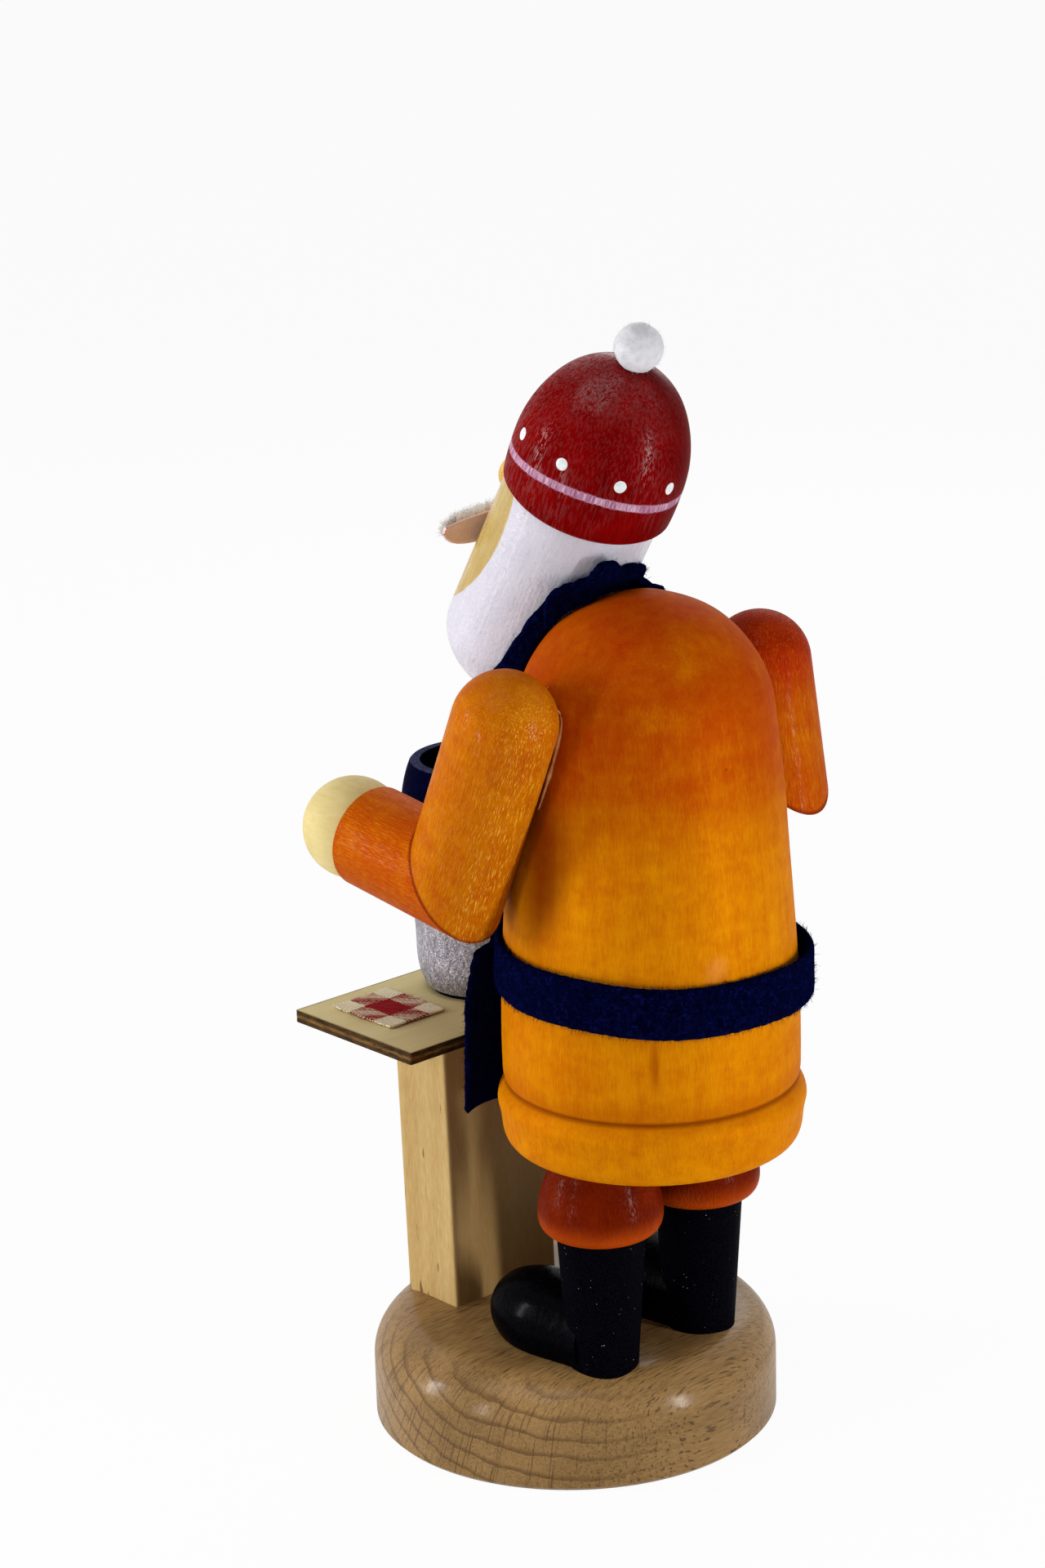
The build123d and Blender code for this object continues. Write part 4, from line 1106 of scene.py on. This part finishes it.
pompom_low, pompom_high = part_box("pompom")
POMPOM_AT = centre_of("pompom")
POMPOM_R = (pompom_high.x - pompom_low.x) / 2
POMPOM_SKIN = POMPOM_R - 0.0001
POMPOM_RINGS, POMPOM_SIDES = 40, 72
POMPOM_FIBRES = 420

cotton, place = finish("pressed_cotton", Sheen_Weight=0.3, Coat_Weight=0.15, Coat_Roughness=0.3)
fluff = noise(place, 900.0, 4.0, 0.7)
lump = noise(place, 300.0, 2.0)
feed(cotton, Base_Color=ramp(fluff * 0.5 + lump * 0.5, (0.3, hue(200, 200, 206)),
                             (0.65, hue(232, 232, 237))),
     Roughness=0.62 + fluff * 0.2, Normal=bump(fluff + lump * 0.6, 0.00028))
ball_points = []
for i in range(1, POMPOM_RINGS):
    for k in range(POMPOM_SIDES):
        a, b = math.pi * i / POMPOM_RINGS, 2 * math.pi * k / POMPOM_SIDES
        way = Vector((math.sin(a) * math.cos(b), math.sin(a) * math.sin(b), math.cos(a)))
        swell = POMPOM_SKIN + 0.00016 * field.noise(way * 2.6) + 0.00006 * field.noise(way * 11)
        ball_points.append(POMPOM_AT + way * swell)
ball_faces = band(POMPOM_RINGS - 1, POMPOM_SIDES, flip=True)
for pole, row in ((1, 0), (-1, POMPOM_RINGS - 2)):
    tip = len(ball_points)
    ball_points.append(POMPOM_AT + Vector((0, 0, pole * POMPOM_SKIN)))
    for k in range(POMPOM_SIDES):
        a, b = (row * POMPOM_SIDES + n % POMPOM_SIDES for n in (k, k + 1))
        ball_faces.append((a, b, tip) if pole > 0 else (b, a, tip))
pompom = piece("cotton_pompom", ball_points, ball_faces, cotton, "coat_group")
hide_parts("pompom")
draw = random.Random(71)
roots = []
for _ in range(POMPOM_FIBRES):
    way = Vector((draw.gauss(0, 1), draw.gauss(0, 1), draw.gauss(0, 1))).normalized()
    roots.append((POMPOM_AT + way * (POMPOM_R - 0.0002), way + any_way(draw) * 0.9))
pompom_fuzz = piece("cotton_pompom_fuzz", *fibres(roots, length=0.0007, width=0.00006, curl=0.7, seed=72),
                    cotton, "coat_group")


# Studio: a white floor that runs out of sight, tall soft boxes and low strips on either
# side of the camera, a box above, one on the far side and a pale room, at a plain level.

FLOOR_R = 9.0
AMBIENT = 0.2
CAMERA_AZ, CAMERA_EL, CAMERA_ROLL = 137.554, 19.085, -1.395
CAMERA_AIM = Vector((0, 0, 0.11057))
CAMERA_FAR = 0.84385
SENSOR = 36.0
PHOTO_FOCAL, PHOTO_W, PHOTO_H = 5000.0, 1280.0, 1920.0
PHOTO_MIDDLE = (691.8, 1120.7)
# Degrees round from the camera, degrees up, distance, width, height and power.
LAMPS = {
    "right_box": (57, 3, 0.55, 0.03, 0.26, 0.96),
    "right_glint": (57, -5, 0.36, 0.014, 0.15, 0.36),
    "left_box": (-88, 10, 0.9, 0.06, 0.44, 4.6),
    "left_glint": (-50, -5, 0.36, 0.01, 0.15, 0.26),
    "top_box": (-40, 64, 0.9, 0.7, 0.7, 3.3),
    "front_box": (165, 28, 0.9, 0.5, 0.5, 1.7),
}
scene = bpy.context.scene


def seen_rays(tree):
    """1 for what the camera, a reflection or glass sees, 0 for light on its way to a surface."""
    camera, gloss, glass = (Tone(tree).node("LightPath", out="Is " + kind + " Ray")
                            for kind in ("Camera", "Glossy", "Transmission"))
    return camera + gloss + glass


floor_white = bpy.data.materials.new("floor_white")
floor_white.use_nodes = True
tree = floor_white.node_tree
tree.nodes.clear()
seen = seen_rays(tree)
matt = seen.node("BsdfDiffuse", {}, {"Color": (0.82, 0.82, 0.82, 1)})
glow = seen.node("Emission", {}, {"Color": (1, 1, 1, 1), "Strength": 1.0})
both = seen.node("MixShader", {}, {0: seen * 0.95, 1: matt, 2: glow})
surface = tree.nodes.new("ShaderNodeOutputMaterial")
tree.links.new(both.socket, surface.inputs["Surface"])
corners = [(x * FLOOR_R, y * FLOOR_R, -0.0001) for x, y in ((-1, -1), (1, -1), (1, 1), (-1, 1))]
floor_mesh = bpy.data.meshes.new("floor")
floor_mesh.from_pydata(corners, [], [(0, 1, 2, 3)])
floor_mesh.materials.append(floor_white)
floor = bpy.data.objects.new("floor", floor_mesh)
scene.collection.objects.link(floor)

world = bpy.data.worlds.new("pale_room")
scene.world = world
world.use_nodes = True
tree = world.node_tree
room = tree.nodes["Background"]
level = AMBIENT + (1 - AMBIENT) * seen_rays(tree)
room.inputs["Color"].default_value = (1, 1, 1, 1)
tree.links.new(level.socket, room.inputs["Strength"])


def from_angles(azimuth, elevation):
    a, e = math.radians(azimuth), math.radians(elevation)
    return Vector((math.sin(a) * math.cos(e), -math.cos(a) * math.cos(e), math.sin(e)))


for name, (swing, elevation, far, width, height, power) in LAMPS.items():
    lamp = bpy.data.lights.new(name, "AREA")
    lamp.shape = "RECTANGLE"
    lamp.size, lamp.size_y = width, height
    lamp.energy = power
    soft_box = bpy.data.objects.new(name, lamp)
    way = from_angles(CAMERA_AZ + swing, elevation)
    soft_box.location = CAMERA_AIM + way * far
    soft_box.rotation_mode = "QUATERNION"
    soft_box.rotation_quaternion = way.to_track_quat("Z", "Y")
    scene.collection.objects.link(soft_box)

back = from_angles(CAMERA_AZ, CAMERA_EL)
right = Vector((0, 0, 1)).cross(back).normalized()
up = back.cross(right)
roll = math.radians(CAMERA_ROLL)
right, up = right * math.cos(roll) + up * math.sin(roll), up * math.cos(roll) - right * math.sin(roll)
lens = bpy.data.cameras.new("camera")
lens.sensor_width = SENSOR
lens.lens = PHOTO_FOCAL / PHOTO_H * SENSOR
lens.shift_x = (PHOTO_W / 2 - PHOTO_MIDDLE[0]) / PHOTO_H
lens.shift_y = (PHOTO_MIDDLE[1] - PHOTO_H / 2) / PHOTO_H
camera = bpy.data.objects.new("camera", lens)
turn = Matrix((right, up, back)).transposed().to_4x4()
camera.matrix_world = Matrix.Translation(CAMERA_AIM + back * CAMERA_FAR) @ turn
scene.collection.objects.link(camera)
scene.camera = camera
scene.view_settings.view_transform = "Standard"
